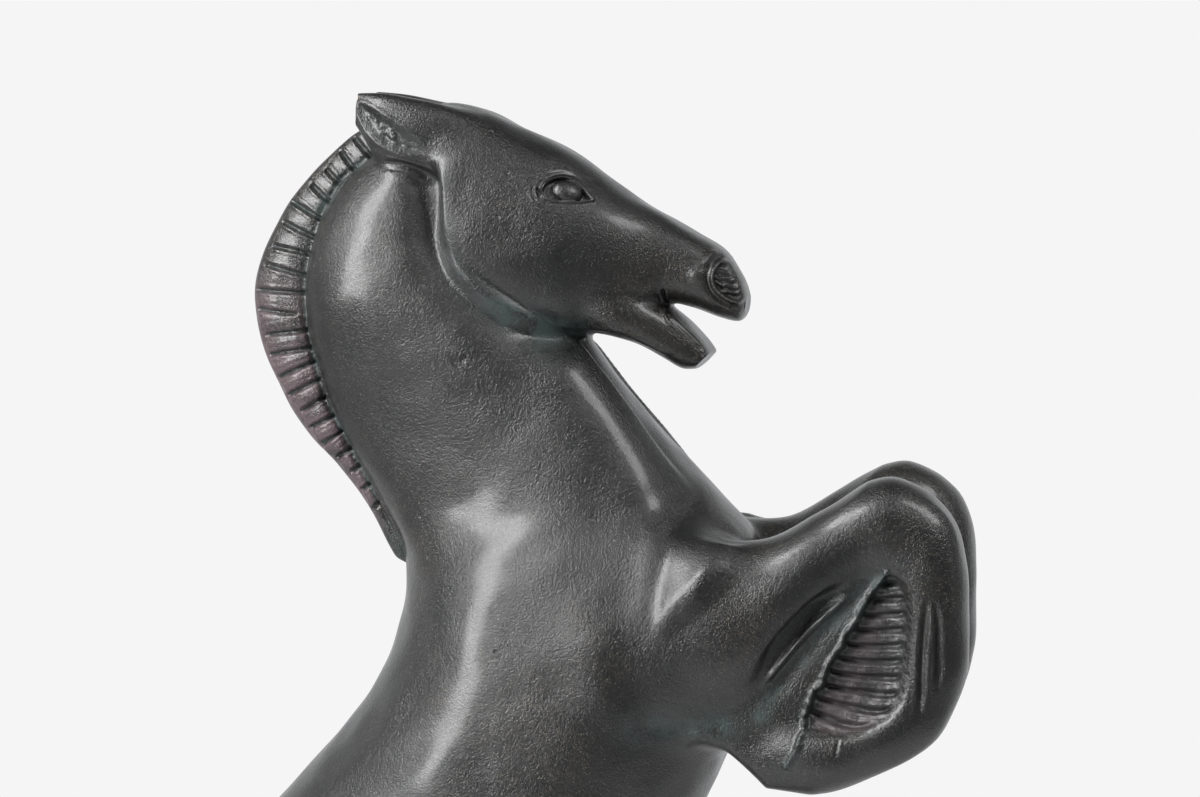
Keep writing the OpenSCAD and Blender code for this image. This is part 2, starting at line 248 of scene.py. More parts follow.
@dataclass(frozen=True)
class Block:
    """A box of evenly spaced samples: its lowest index on each axis, its size and its spacing."""

    low: tuple[int, int, int]
    size: tuple[int, int, int]
    step: float

    @staticmethod
    def around(low: Sequence[float], high: Sequence[float], step: float) -> "Block":
        """The block that holds a box, the same to the left and right of the horse's middle.

        Args:
            low: The box's lowest corner, in millimetres.
            high: The box's highest corner.
            step: The spacing of the samples.

        Returns:
            The block.
        """
        first = [math.floor(v / step) for v in low]
        last = [math.ceil(v / step) for v in high]
        first[1] = -last[1]
        return Block(tuple(first), tuple(b - a + 1 for a, b in zip(first, last)), step)

    def axes(self) -> tuple[Array, Array, Array]:
        """The samples' x, y and z, shaped so that they broadcast to the whole block."""
        places = [(np.arange(n) + a).astype(np.float32) * self.step for a, n in zip(self.low, self.size)]
        return places[0][:, None, None], places[1][None, :, None], places[2][None, None, :]

    def window(self, part: "Block") -> tuple[slice, slice, slice]:
        """Where a smaller block lies in this one, as slices."""
        return tuple(slice(p - a, p - a + n) for p, a, n in zip(part.low, self.low, part.size))


@dataclass(frozen=True)
class Loft:
    """A closed solid through cross-sections.

    Each station is [back x, back z, front x, front z, middle y, half width, egg], in millimetres
    with z = 0 at the soles of the hooves. The egg widens a section towards its back edge, or
    towards its front edge when it is negative.
    """

    stations: tuple[tuple[float, ...], ...]
    power: float = 0.9
    spacing: float = 1.0

    def eased(self) -> Array:
        """Stations about one spacing apart, on Catmull-Rom curves through the given ones.

        Returns:
            The stations, one row each.
        """
        s = np.array(self.stations, dtype=np.float64)
        a, b, c, d = np.vstack([s[:1], s[:-2]]), s[:-1], s[1:], np.vstack([s[2:], s[-1:]])
        middles = (s[:, 0:2] + s[:, 2:4]) / 2.0
        steps = int(np.ceil(np.linalg.norm(np.diff(middles, axis=0), axis=1).max() / self.spacing))
        t = (np.arange(steps) / steps)[None, :, None]
        a, b, c, d = (v[:, None, :] for v in (a, b, c, d))
        curve = 2 * b + (c - a) * t + (2 * a - 5 * b + 4 * c - d) * t**2 + (3 * b - a - 3 * c + d) * t**3
        return np.vstack([0.5 * curve.reshape(-1, s.shape[1]), s[-1:]])

    def mesh(self, sides: int = 160) -> tuple[Array, Array, Array]:
        """The surface: rings of points whose cosine and sine are raised to a power below 1.

        Args:
            sides: Points in each ring.

        Returns:
            Points, quads between the rings, and triangles that close the two ends.
        """
        s = self.eased()
        angle = 2.0 * math.pi * np.arange(sides) / sides
        u = np.sign(np.cos(angle)) * np.abs(np.cos(angle)) ** self.power
        v = np.sign(np.sin(angle)) * np.abs(np.sin(angle)) ** self.power
        x = (s[:, 0:1] + s[:, 2:3] + u * (s[:, 0:1] - s[:, 2:3])) / 2.0
        z = (s[:, 1:2] + s[:, 3:4] + u * (s[:, 1:2] - s[:, 3:4])) / 2.0
        y = s[:, 4:5] + v * s[:, 5:6] * (1.0 + s[:, 6:7] * u)
        rings = np.stack([x, y, z], axis=-1)
        points = np.vstack([rings.reshape(-1, 3), rings[0].mean(axis=0), rings[-1].mean(axis=0)])
        k = np.arange(sides)
        j = (k + 1) % sides
        row = (np.arange(len(s) - 1) * sides)[:, None]
        quads = np.stack([row + k, row + j, row + j + sides, row + k + sides], axis=-1).reshape(-1, 4)
        last = (len(s) - 1) * sides
        first_cap = np.stack([j, k, np.full(sides, last + sides)], axis=-1)
        last_cap = np.stack([last + k, last + j, np.full(sides, last + sides + 1)], axis=-1)
        return points, quads, np.vstack([first_cap, last_cap])

    def sampled(self, block: Block, reach: float) -> Array:
        """Signed distances to the surface, negative inside, cut off at the reach.

        Args:
            block: Where to sample the distance.
            reach: The largest distance outside the solid that is kept, in millimetres.

        Returns:
            The distances, in the block's shape.
        """
        points, quads, triangles = self.mesh()
        level = vdb.FloatGrid.createLevelSetFromPolygons(
            points.astype(np.float32),
            triangles=triangles.astype(np.uint32),
            quads=quads.astype(np.uint32),
            transform=vdb.createLinearTransform(block.step),
            exBandWidth=reach / block.step,
            inBandWidth=6.0 / block.step,
        )
        values = np.empty(block.size, dtype=np.float32)
        level.copyToArray(values, ijk=block.low)
        return values


@dataclass(frozen=True)
class Plate:
    """A flat solid: an outline on the side of the horse, so thick, with rounded edges."""

    outline: Path
    middle: float
    half: float
    rounding: float

    def sampled(self, block: Block, reach: float) -> Array:
        """Signed distances to the surface, negative inside.

        The outline's distance and the distance past the flat faces, joined as the two sides of a
        right-angled triangle outside and as the larger one inside.

        Args:
            block: Where to sample the distance.
            reach: The largest distance outside the solid that is kept, in millimetres.

        Returns:
            The distances, in the block's shape.
        """
        x, y, z = block.axes()
        across = self.outline.signed(*np.broadcast_arrays(x[:, 0], z[0])) + self.rounding
        across = across[:, None, :].astype(np.float32)
        through = np.abs(y - self.middle) - np.float32(self.half - self.rounding)
        outside = np.hypot(np.maximum(across, 0.0), np.maximum(through, 0.0))
        return np.minimum(outside + np.minimum(np.maximum(across, through), 0.0) - self.rounding, reach)


def joined(a: Array, b: Array, radius: Array | float) -> Array:
    """The union of two solids with a fillet between them.

    The lower of the two distances, less (overlap squared) / (4 radius), where the overlap is how far
    the difference of the two distances falls short of the radius.

    Args:
        a: Distances to the first solid.
        b: Distances to the second.
        radius: How wide the fillet is, in millimetres.

    Returns:
        Distances to the union.
    """
    overlap = np.maximum(radius - np.abs(a - b), 0.0)
    return np.minimum(a, b) - overlap * overlap / (4.0 * radius)


# ---------------------------------------------------------------- triangle surfaces


@dataclass
class Surface:
    """A triangle mesh, with values carried at its points."""

    points: Array
    triangles: Array
    values: dict[str, Array] = field(default_factory=dict)

    def edges(self) -> tuple[Array, Array]:
        """The edges, each once, and which edge each triangle's three sides are.

        Returns:
            The edges as pairs of points, and three edge numbers for each triangle.
        """
        sides = self.triangles[:, [0, 1, 1, 2, 2, 0]].reshape(-1, 2).astype(np.int64)
        sides.sort(axis=1)
        count = len(self.points)
        keys, which = np.unique(sides[:, 0] * count + sides[:, 1], return_inverse=True)
        return np.stack([keys // count, keys % count], axis=1), which.reshape(-1, 3)

    def normals(self) -> Array:
        """Unit normals at the points: the sum of the cross products of the triangles round each.

        Returns:
            The normals, one row for each point.
        """
        a, b, c = (self.points[self.triangles[:, k]] for k in range(3))
        cross = np.cross(b - a, c - a)
        total = np.stack(
            [
                sum(np.bincount(self.triangles[:, k], cross[:, axis], len(self.points)) for k in range(3))
                for axis in range(3)
            ],
            axis=1,
        )
        return total / np.maximum(np.linalg.norm(total, axis=1, keepdims=True), 1e-12)

    def refine(self, chosen: Array) -> "Surface":
        """Halves every edge of the chosen triangles, and splits their neighbours to match.

        Args:
            chosen: True for each triangle to make finer.

        Returns:
            The finer surface.
        """
        edges, which = self.edges()
        split = np.zeros(len(edges), dtype=bool)
        split[which[chosen].ravel()] = True
        middle = np.full(len(edges), -1, dtype=np.int64)
        middle[split] = len(self.points) + np.arange(split.sum())
        points = np.vstack([self.points, self.points[edges[split]].mean(axis=1)])
        mark = split[which]
        mids = middle[which]
        made = [self.triangles[~mark.any(axis=1)]]
        for turn in range(3):
            order = [(turn + k) % 3 for k in range(3)]
            corner, mid, cut = self.triangles[:, order], mids[:, order], mark[:, order]
            one = cut[:, 0] & ~cut[:, 1] & ~cut[:, 2]
            made.append(np.stack([corner[one, 0], mid[one, 0], corner[one, 2]], axis=1))
            made.append(np.stack([mid[one, 0], corner[one, 1], corner[one, 2]], axis=1))
            two = cut[:, 0] & cut[:, 1] & ~cut[:, 2]
            made.append(np.stack([mid[two, 0], corner[two, 1], mid[two, 1]], axis=1))
            made.append(np.stack([corner[two, 0], mid[two, 0], mid[two, 1]], axis=1))
            made.append(np.stack([corner[two, 0], mid[two, 1], corner[two, 2]], axis=1))
        every = mark.all(axis=1)
        corner, mid = self.triangles[every], mids[every]
        made.append(mid)
        for k in range(3):
            made.append(np.stack([corner[:, k], mid[:, k], mid[:, (k + 2) % 3]], axis=1))
        return Surface(points, np.vstack(made))

    def cut(self, height: Array) -> tuple["Surface", Array]:
        """Splits triangles along the line where a value passes through zero.

        Args:
            height: The value at each point.

        Returns:
            The surface with the line in it, and True for each triangle on the positive side.
        """
        height = np.where(np.abs(height) < 1e-4, 1e-4, height)
        edges, which = self.edges()
        low, high = height[edges[:, 0]], height[edges[:, 1]]
        crossed = (low > 0) != (high > 0)
        share = np.clip(low[crossed] / (low[crossed] - high[crossed]), 0.02, 0.98)[:, None]
        first, second = edges[crossed, 0], edges[crossed, 1]
        middle = np.full(len(edges), -1, dtype=np.int64)
        middle[crossed] = len(self.points) + np.arange(crossed.sum())
        mixed = {
            name: np.concatenate([v, v[first] * (1 - s) + v[second] * s])
            for name, v in self.values.items()
            for s in [share if v.ndim == 2 else share[:, 0]]
        }
        points = np.vstack([self.points, self.points[first] * (1 - share) + self.points[second] * share])
        mids = middle[which]
        plus = (height > 0)[self.triangles]
        made, above = [self.triangles[mids.max(axis=1) < 0]], [plus[mids.max(axis=1) < 0, 0]]
        for turn in range(3):
            order = [(turn + k) % 3 for k in range(3)]
            corner, mid = self.triangles[:, order], mids[:, order]
            tip = (mid[:, 0] >= 0) & (mid[:, 2] >= 0)
            corner, mid, tip_plus = corner[tip], mid[tip], plus[tip, order[0]]
            made.append(np.stack([corner[:, 0], mid[:, 0], mid[:, 2]], axis=1))
            made.append(np.stack([mid[:, 0], corner[:, 1], corner[:, 2]], axis=1))
            made.append(np.stack([mid[:, 0], corner[:, 2], mid[:, 2]], axis=1))
            above += [tip_plus, ~tip_plus, ~tip_plus]
        return Surface(points, np.vstack(made), mixed), np.concatenate(above)

    def part(self, chosen: Array) -> "Surface":
        """The chosen triangles, with only the points that they use.

        Args:
            chosen: True for each triangle to keep.

        Returns:
            The smaller surface.
        """
        kept = self.triangles[chosen]
        used, renamed = np.unique(kept, return_inverse=True)
        values = {name: v[used] for name, v in self.values.items()}
        return Surface(self.points[used], renamed.reshape(-1, 3), values)

    def capped(self, depth: float) -> "Surface":
        """Closes each open rim with a fan to a point below the middle of the rim.

        Args:
            depth: How far the fans' middles are sunk under the rims, in millimetres.

        Returns:
            The closed surface.
        """
        sides = self.triangles[:, [0, 1, 1, 2, 2, 0]].reshape(-1, 2)
        count = len(self.points)
        keys = np.sort(sides, axis=1) @ np.array([count, 1])
        _, first, uses = np.unique(keys, return_index=True, return_counts=True)
        rim = sides[first[uses == 1]]
        group = np.arange(count)
        while True:
            lowest = np.minimum(group[rim[:, 0]], group[rim[:, 1]])
            before = group.copy()
            np.minimum.at(group, rim[:, 0], lowest)
            np.minimum.at(group, rim[:, 1], lowest)
            if np.array_equal(before, group):
                break
        made, hubs = [self.triangles], []
        loops = np.unique(group[rim[:, 0]])
        hub_source = []
        for k, loop in enumerate(loops):
            own = rim[group[rim[:, 0]] == loop]
            a, b = self.points[own[:, 0]], self.points[own[:, 1]]
            middle = a.mean(axis=0)
            facing = np.cross(a - middle, b - middle).sum(axis=0)
            hubs.append(middle + depth * facing / max(np.linalg.norm(facing), 1e-9))
            hub_source.append(own[0, 0])
            made.append(np.stack([own[:, 1], own[:, 0], np.full(len(own), count + k)], axis=1))
        points = np.vstack([self.points] + [np.array(hubs).reshape(-1, 3)])
        values = {name: np.concatenate([v, v[hub_source]]) for name, v in self.values.items()}
        return Surface(points, np.vstack(made), values)


@dataclass
class Field:
    """Signed distances sampled in a block."""

    block: Block
    values: Array

    def blend_in(self, other: "Field", radius: Array | float) -> None:
        """Joins another solid, sampled in a smaller block, to this one with a fillet.

        Args:
            other: The other solid.
            radius: The fillet's width, one number or one for each of its samples.
        """
        window = self.block.window(other.block)
        self.values[window] = joined(self.values[window], other.values, radius)

    def mirrored(self) -> "Field":
        """The same solid on the other side of the horse."""
        return Field(self.block, self.values[:, ::-1, :])

    def at(self, points: Array, slope: bool = False) -> tuple[Array, Array | None]:
        """The field between the samples, from quadratic B-splines over the 27 nearest.

        Args:
            points: Where to work it out, in millimetres.
            slope: Whether the slope is wanted too.

        Returns:
            The value and, if asked for, the slope along x, y and z.
        """
        place = points / self.block.step - np.array(self.block.low)
        base = np.clip(np.rint(place).astype(np.int64), 1, np.array(self.block.size) - 2)
        t = place - base
        weight = [0.5 * (0.5 - t) ** 2, 0.75 - t**2, 0.5 * (0.5 + t) ** 2]
        steep = [t - 0.5, -2.0 * t, t + 0.5]
        total = np.zeros(len(points))
        rise = np.zeros((len(points), 3)) if slope else None
        flat = self.values.reshape(-1)
        _, ny, nz = self.block.size
        for i in range(3):
            for j in range(3):
                row = ((base[:, 0] + i - 1) * ny + base[:, 1] + j - 1) * nz + base[:, 2]
                wx, wy = weight[i][:, 0], weight[j][:, 1]
                for k in range(3):
                    value = flat[row + k - 1]
                    wz = weight[k][:, 2]
                    total += wx * wy * wz * value
                    if rise is not None:
                        rise[:, 0] += steep[i][:, 0] * wy * wz * value
                        rise[:, 1] += wx * steep[j][:, 1] * wz * value
                        rise[:, 2] += wx * wy * steep[k][:, 2] * value
        return total, rise

    def surface(self) -> Surface:
        """The zero level as triangles that face outwards, each quad cut along its shorter diagonal.

        Returns:
            The surface.
        """
        grid = vdb.FloatGrid(float(self.values.max()))
        grid.copyFromArray(np.ascontiguousarray(self.values), ijk=self.block.low, tolerance=0.0)
        grid.transform = vdb.createLinearTransform(self.block.step)
        points, triangles, quads = grid.convertToPolygons(isovalue=0.0, adaptivity=0.0)
        points = points.astype(np.float64)
        quads = quads.astype(np.int64)
        short = np.linalg.norm(points[quads[:, 0]] - points[quads[:, 2]], axis=1) <= np.linalg.norm(
            points[quads[:, 1]] - points[quads[:, 3]], axis=1
        )
        halves = [quads[short][:, [0, 1, 2]], quads[short][:, [0, 2, 3]]]
        halves += [quads[~short][:, [0, 1, 3]], quads[~short][:, [1, 2, 3]]]
        made = np.vstack(halves + [triangles.astype(np.int64).reshape(-1, 3)])
        a, b, c = (points[made[:, k]] for k in range(3))
        inside_out = np.einsum("ij,ij->i", a, np.cross(b, c)).sum() < 0
        return Surface(points, made[:, ::-1] if inside_out else made)

    def settle(self, points: Array, rounds: int = 3) -> Array:
        """Moves points onto the zero level: each steps back by value / steepness along the slope.

        Args:
            points: The points, near the zero level.
            rounds: How often to step.

        Returns:
            The moved points.
        """
        for _ in range(rounds):
            value, rise = self.at(points, slope=True)
            rise = rise / self.block.step
            steep = np.maximum((rise * rise).sum(axis=1), 0.05)
            step = np.clip(value / steep, -self.block.step, self.block.step)
            points = points - rise * step[:, None]
        return points


# ---------------------------------------------------------------- the horse


class Casting(Enum):
    """The horse's castings, by the names of their CAD nodes."""

    BODY = "body_casting"
    HEAD = "head_casting"
    RIGHT_FORELEG = "right_foreleg_casting"
    LEFT_FORELEG = "left_foreleg_casting"
    RIGHT_HIND_LEG = "right_hind_leg_casting"
    LEFT_HIND_LEG = "left_hind_leg_casting"
    TAIL = "tail_casting"


TRUNK = Loft((
    (-91, 152, -80, 132, 0, 10, 0), (-92, 164, -62, 124, 0, 27, 0), (-88, 184, -30, 136, 0, 36, 0),
    (-77, 208, 6, 168, 0, 38, 0), (-62, 230, 34, 202, 0, 37, -0.05), (-45, 252, 55, 233, 0, 40, -0.08),
    (-28, 271, 70, 260, 0, 41, -0.1), (-13, 290, 80, 282, 0, 40, -0.1), (-5, 309, 86, 305, 0, 38, -0.12),
    (-4, 325, 85, 327, 0, 33, -0.12), (-9, 336, 74, 341, 0, 27, -0.2), (-17, 348, 63, 353, 0, 24, -0.24),
    (-23.5, 361, 52, 366, 0, 22.5, -0.22), (-28, 376, 43, 378, 0, 22.5, -0.12), (-30, 391, 36, 388, 0, 22, 0),
    (-27, 406, 29, 402, 0, 19, 0.05), (-19, 419, 22, 416, 0, 15.5, 0), (-9, 427, 14, 427, 0, 9, 0),
))
MANE = Loft((
    (-7, 323, -3, 321, 0, 1.5, 0), (-14.5, 336, -6, 334, 0, 3.2, -0.3), (-21.5, 345.5, -12, 344, 0, 3.8, -0.3),
    (-29, 354, -18, 352, 0, 4.4, -0.3), (-35, 363, -21, 362, 0, 5, -0.3), (-40.5, 373.5, -24, 374, 0, 5.2, -0.3),
    (-43, 384, -26, 384, 0, 5.4, -0.3), (-42.5, 393.5, -26, 392, 0, 5.4, -0.3),
    (-39, 403.5, -24, 400, 0, 5.2, -0.3), (-33.5, 413, -20, 407, 0, 5, -0.3), (-25.5, 422.5, -15, 415, 0, 4.6, -0.3),
    (-17, 430, -9, 422, 0, 4, -0.3), (-8, 433, -3, 427, 0, 3, -0.3),
), spacing=0.7)
SKULL = Loft((
    (-3, 433, 3, 408, 0, 8, 0), (6, 437, 6, 396, 0, 17, -0.05), (17, 435.5, 13, 388.5, 0, 19.5, -0.08),
    (27, 430.8, 24, 383.3, 0, 19.8, -0.08), (36, 426, 35.5, 380.3, 0, 19.5, -0.05), (46, 419.5, 46, 380.5, 0, 17, 0),
    (55, 413.7, 54, 383, 0, 14.5, 0), (63, 408.8, 61.5, 387.6, 0, 12.6, 0), (70, 404.5, 68, 386.8, 0, 12, 0),
    (76.5, 400.3, 75, 384.2, 0, 11.5, 0), (80.5, 394.5, 80, 383.2, 0, 9.5, 0), (82.2, 390, 81.8, 385, 0, 5, 0),
), power=0.8, spacing=0.7)
LOWER_JAW = Loft((
    (36, 396, 36, 385, 0, 8, 0), (46, 394, 46, 380.6, 0, 14.6, 0), (56, 390.4, 55, 378, 0, 13.6, 0),
    (64.5, 385.6, 61.5, 374.3, 0, 11.8, 0), (71, 379.4, 66, 371.6, 0, 10.2, 0), (73.8, 375.6, 69.5, 371.4, 0, 9, 0),
), power=0.7, spacing=0.5)
EAR = Loft((
    (-14, 439.7, -15, 431.5, -11.5, 1.6, 0), (-7, 439.4, -9, 424.5, -12, 3.8, 0), (0, 438.2, 0, 421.5, -11.5, 5, 0),
    (8, 436.3, 9, 420.5, -10, 5.5, 0), (16, 433.5, 17, 422, -8, 5, 0),
), power=0.8, spacing=0.5)
FOREARM = Loft((
    (36, 325, 30, 304, -16, 4, 0), (54, 329, 46, 297, -18, 6, 0), (65, 332, 59, 290, -24, 11.5, 0),
    (76, 331.5, 70, 289, -26, 13.2, 0),
    (90, 332, 86, 294, -25.5, 13, 0), (103, 339, 100, 311, -24.5, 12, 0), (113, 344, 111, 320, -24, 11.5, 0),
    (120, 345.4, 118, 322, -24, 10.6, 0), (125.5, 341, 121, 325, -24, 8, 0),
))
SHIN = Loft((
    (115, 344.4, 106, 334, -24, 7, 0), (121, 345.8, 109, 333, -24, 9.4, 0), (128.8, 343.2, 112, 331, -24, 10.4, 0),
    (134.8, 336.6, 115.5, 327.5, -24, 10.8, 0), (137.8, 326, 118, 320, -24, 11, 0),
    (138.2, 309, 119, 309, -24, 10.5, 0), (137.3, 298, 116, 298, -24, 10.5, 0),
    (131.5, 284.5, 108, 291, -24, 11, 0), (119, 276, 100, 289, -24, 11.5, 0), (105.5, 270.8, 93, 288, -24, 11.5, 0),
    (97, 271.3, 87.5, 284, -24, 9.2, 0), (92.5, 272.6, 84.5, 281.5, -24, 7.4, 0),
))
HIND_LEG = Loft((
    (-88, 162, -46, 204, -19, 12, 0), (-89, 138, -20, 188, -22, 18, 0), (-85, 114, 4, 160, -25, 19.5, 0),
    (-72, 98, 10, 130, -26.5, 16.5, 0), (-62, 86, -8, 104, -26.5, 12.5, 0), (-62, 73, -29, 83, -25.5, 9.4, 0),
    (-60, 58, -36, 62, -25, 8.4, 0), (-51, 45, -33, 48, -25, 7, 0), (-41, 31, -25, 35, -25, 6.5, 0),
    (-33, 21, -14, 27, -25, 7.8, 0), (-29, 12, -5, 16, -25, 9.2, 0), (-31, 0, 5, 0, -25, 11.5, 0),
))
TAIL = Loft((
    (-88, 164, -83, 152, 0, 5, 0), (-98, 167, -93, 150, 0, 7.5, 0), (-112, 158, -97, 142, 0, 10, 0),
    (-121, 134, -99, 128, 0, 11.5, 0), (-123, 102, -98, 102, 0, 12.5, 0), (-118, 66, -93, 68, 0, 12, 0),
    (-108, 35, -85, 38, 0, 10.5, 0), (-99, 14, -78, 15, 0, 9, 0), (-94, 0, -74, 0, 0, 8.5, 0),
))

FORELEG_WEB = Path((
    (68, 293), (73, 284), (80.5, 280), (90, 271.5), (101, 271.5), (122, 286), (126, 328), (108, 322), (88, 300),
))
JOWL = Path((
    (6.5, 424), (8, 418), (8.6, 411), (9.2, 404), (11.6, 397), (16.5, 391.4), (22.5, 387.2), (29, 384.2), (36, 382.2),
    (43.5, 381.5),
)).eased()
UPPER_LID = Path(((33.2, 415.8), (34.2, 417.7), (36.8, 418.9), (39.7, 418.6), (42.5, 416.8), (45.4, 413.5))).eased()
LOWER_LID = Path(((33.2, 415.8), (34.8, 414.1), (38, 413.2), (41.8, 413.1), (45.4, 413.5))).eased()
EYE = Path(UPPER_LID.points + LOWER_LID.points[-2:0:-1], True)
NOSTRIL = Path((
    (76.5, 398.3), (74.7, 395.6), (74.9, 392.6), (76.6, 390.4), (79, 388.8), (81.2, 388.6), (82.3, 391), (81.9, 394.6),
    (79.6, 397.6),
), True).eased()
NOSTRIL_FOLD = Path(((72.4, 397), (73.6, 400), (76.4, 400.7), (79.6, 399), (81.8, 396))).eased()
LIP = Path(((62.2, 392), (62.2, 388), (63.6, 384.8), (67.2, 381.2), (71, 377.4), (72.4, 375.4))).eased()
JAW_EDGE = Path(((44, 382), (51, 381.6), (58, 378.6), (64.5, 375))).eased()
EAR_CUP = Path((
    (-13.4, 437), (-13.6, 434.4), (-12, 431.2), (-9.4, 428.4), (-5.6, 426), (-1, 424.6), (3.2, 424.2), (4.2, 425.8),
    (2.4, 428.4), (-2, 431.4), (-8, 435.2), (-11.6, 437),
), True).eased()
EAR_FOOT = Path(((-9, 422.8), (-5, 422.4), (-0.5, 421.6), (4, 419.5), (6.5, 416))).eased()
EYE_WRINKLES = (Path(((30.8, 417), (31, 415), (31.8, 413.2))), Path(((32.2, 416.8), (32.3, 415.4), (33, 414))))
BREAST_EDGE = ((64.0, 315.0), (87.0, 334.5))
THROAT = Path(((32, 383.5), (39, 377), (48, 366.5), (56.5, 355.5), (62, 345.5), (66.5, 337))).eased()
ARMPIT = Path(((60, 286.6), (66, 286), (72, 286.2), (79, 287.2))).eased()
SLOT = Path(((87.5, 298.5), (90, 302.5), (94.5, 308.8), (100, 314.8), (105.5, 319.4), (111.5, 322.2))).eased()
SLOT_LIP = Path(((88.5, 296), (92.4, 301.6), (97.4, 307.4), (102.4, 312.6), (107.6, 317.2), (112, 320.4))).eased()
INNER_FOLD = Path((
    (89, 290), (93, 296), (98.5, 303.6), (105.5, 312.2), (111.5, 318.6), (117.5, 324), (121, 326.4),
)).eased()
CHIPPED_EDGE = Path((
    (119, 325), (117, 322.4), (115, 319.6), (113, 316), (112.2, 313.6), (109.6, 310.4), (108.2, 307), (106.4, 304.6),
    (104.6, 301.6), (104, 298.4), (101.8, 296.2), (100.6, 292.8), (99.4, 290), (99.6, 286.4), (98, 282.6), (94, 275.6),
))
RIBS = Path(((20, 334), (18, 312), (16, 293), (10, 273), (0, 254))).eased()
POCKET_WALL = Path((
    (121, 326), (125.4, 323), (126.4, 316), (126, 306.5), (124.8, 296), (122.4, 290.4), (117, 286.2), (111, 284.2),
    (106, 284), (100.4, 285),
)).eased()
POCKET = Path(CHIPPED_EDGE.points[:-1] + POCKET_WALL.points[::-1])
SHANK_GROOVES = (
    Path(((129.6, 321.5), (128.4, 314), (127.8, 306), (127.6, 296), (127, 288.5))),
    Path(((130.6, 320.5), (131.6, 312), (131.9, 302), (131, 295))),
)
SCRATCHES = (
    Path(((108.2, 285.8), (107, 280.2))), Path(((11.2, 375.4), (12.6, 373.6), (13.2, 371.4))),
    Path(((12.8, 373.6), (14.6, 374.2), (15.6, 375.8))),
)
CREST_EDGE = Path(tuple((s[0], s[1]) for s in MANE.stations))
CREST_MIDDLE = Path(tuple(((s[0] + s[2]) / 2, (s[1] + s[3]) / 2) for s in MANE.stations))
CREST_GROOVE = Path((
    (-11.5, 425), (-20, 418.5), (-24.5, 411), (-28, 401), (-29.5, 391), (-29, 382.5), (-27, 372.5), (-24, 362.5),
    (-20, 355), (-16.5, 347.5), (-13, 341), (-8.5, 332), (-5, 324.5),
))
TAIL_MIDDLE = Path(tuple(((s[0] + s[2]) / 2, (s[1] + s[3]) / 2) for s in TAIL.stations))


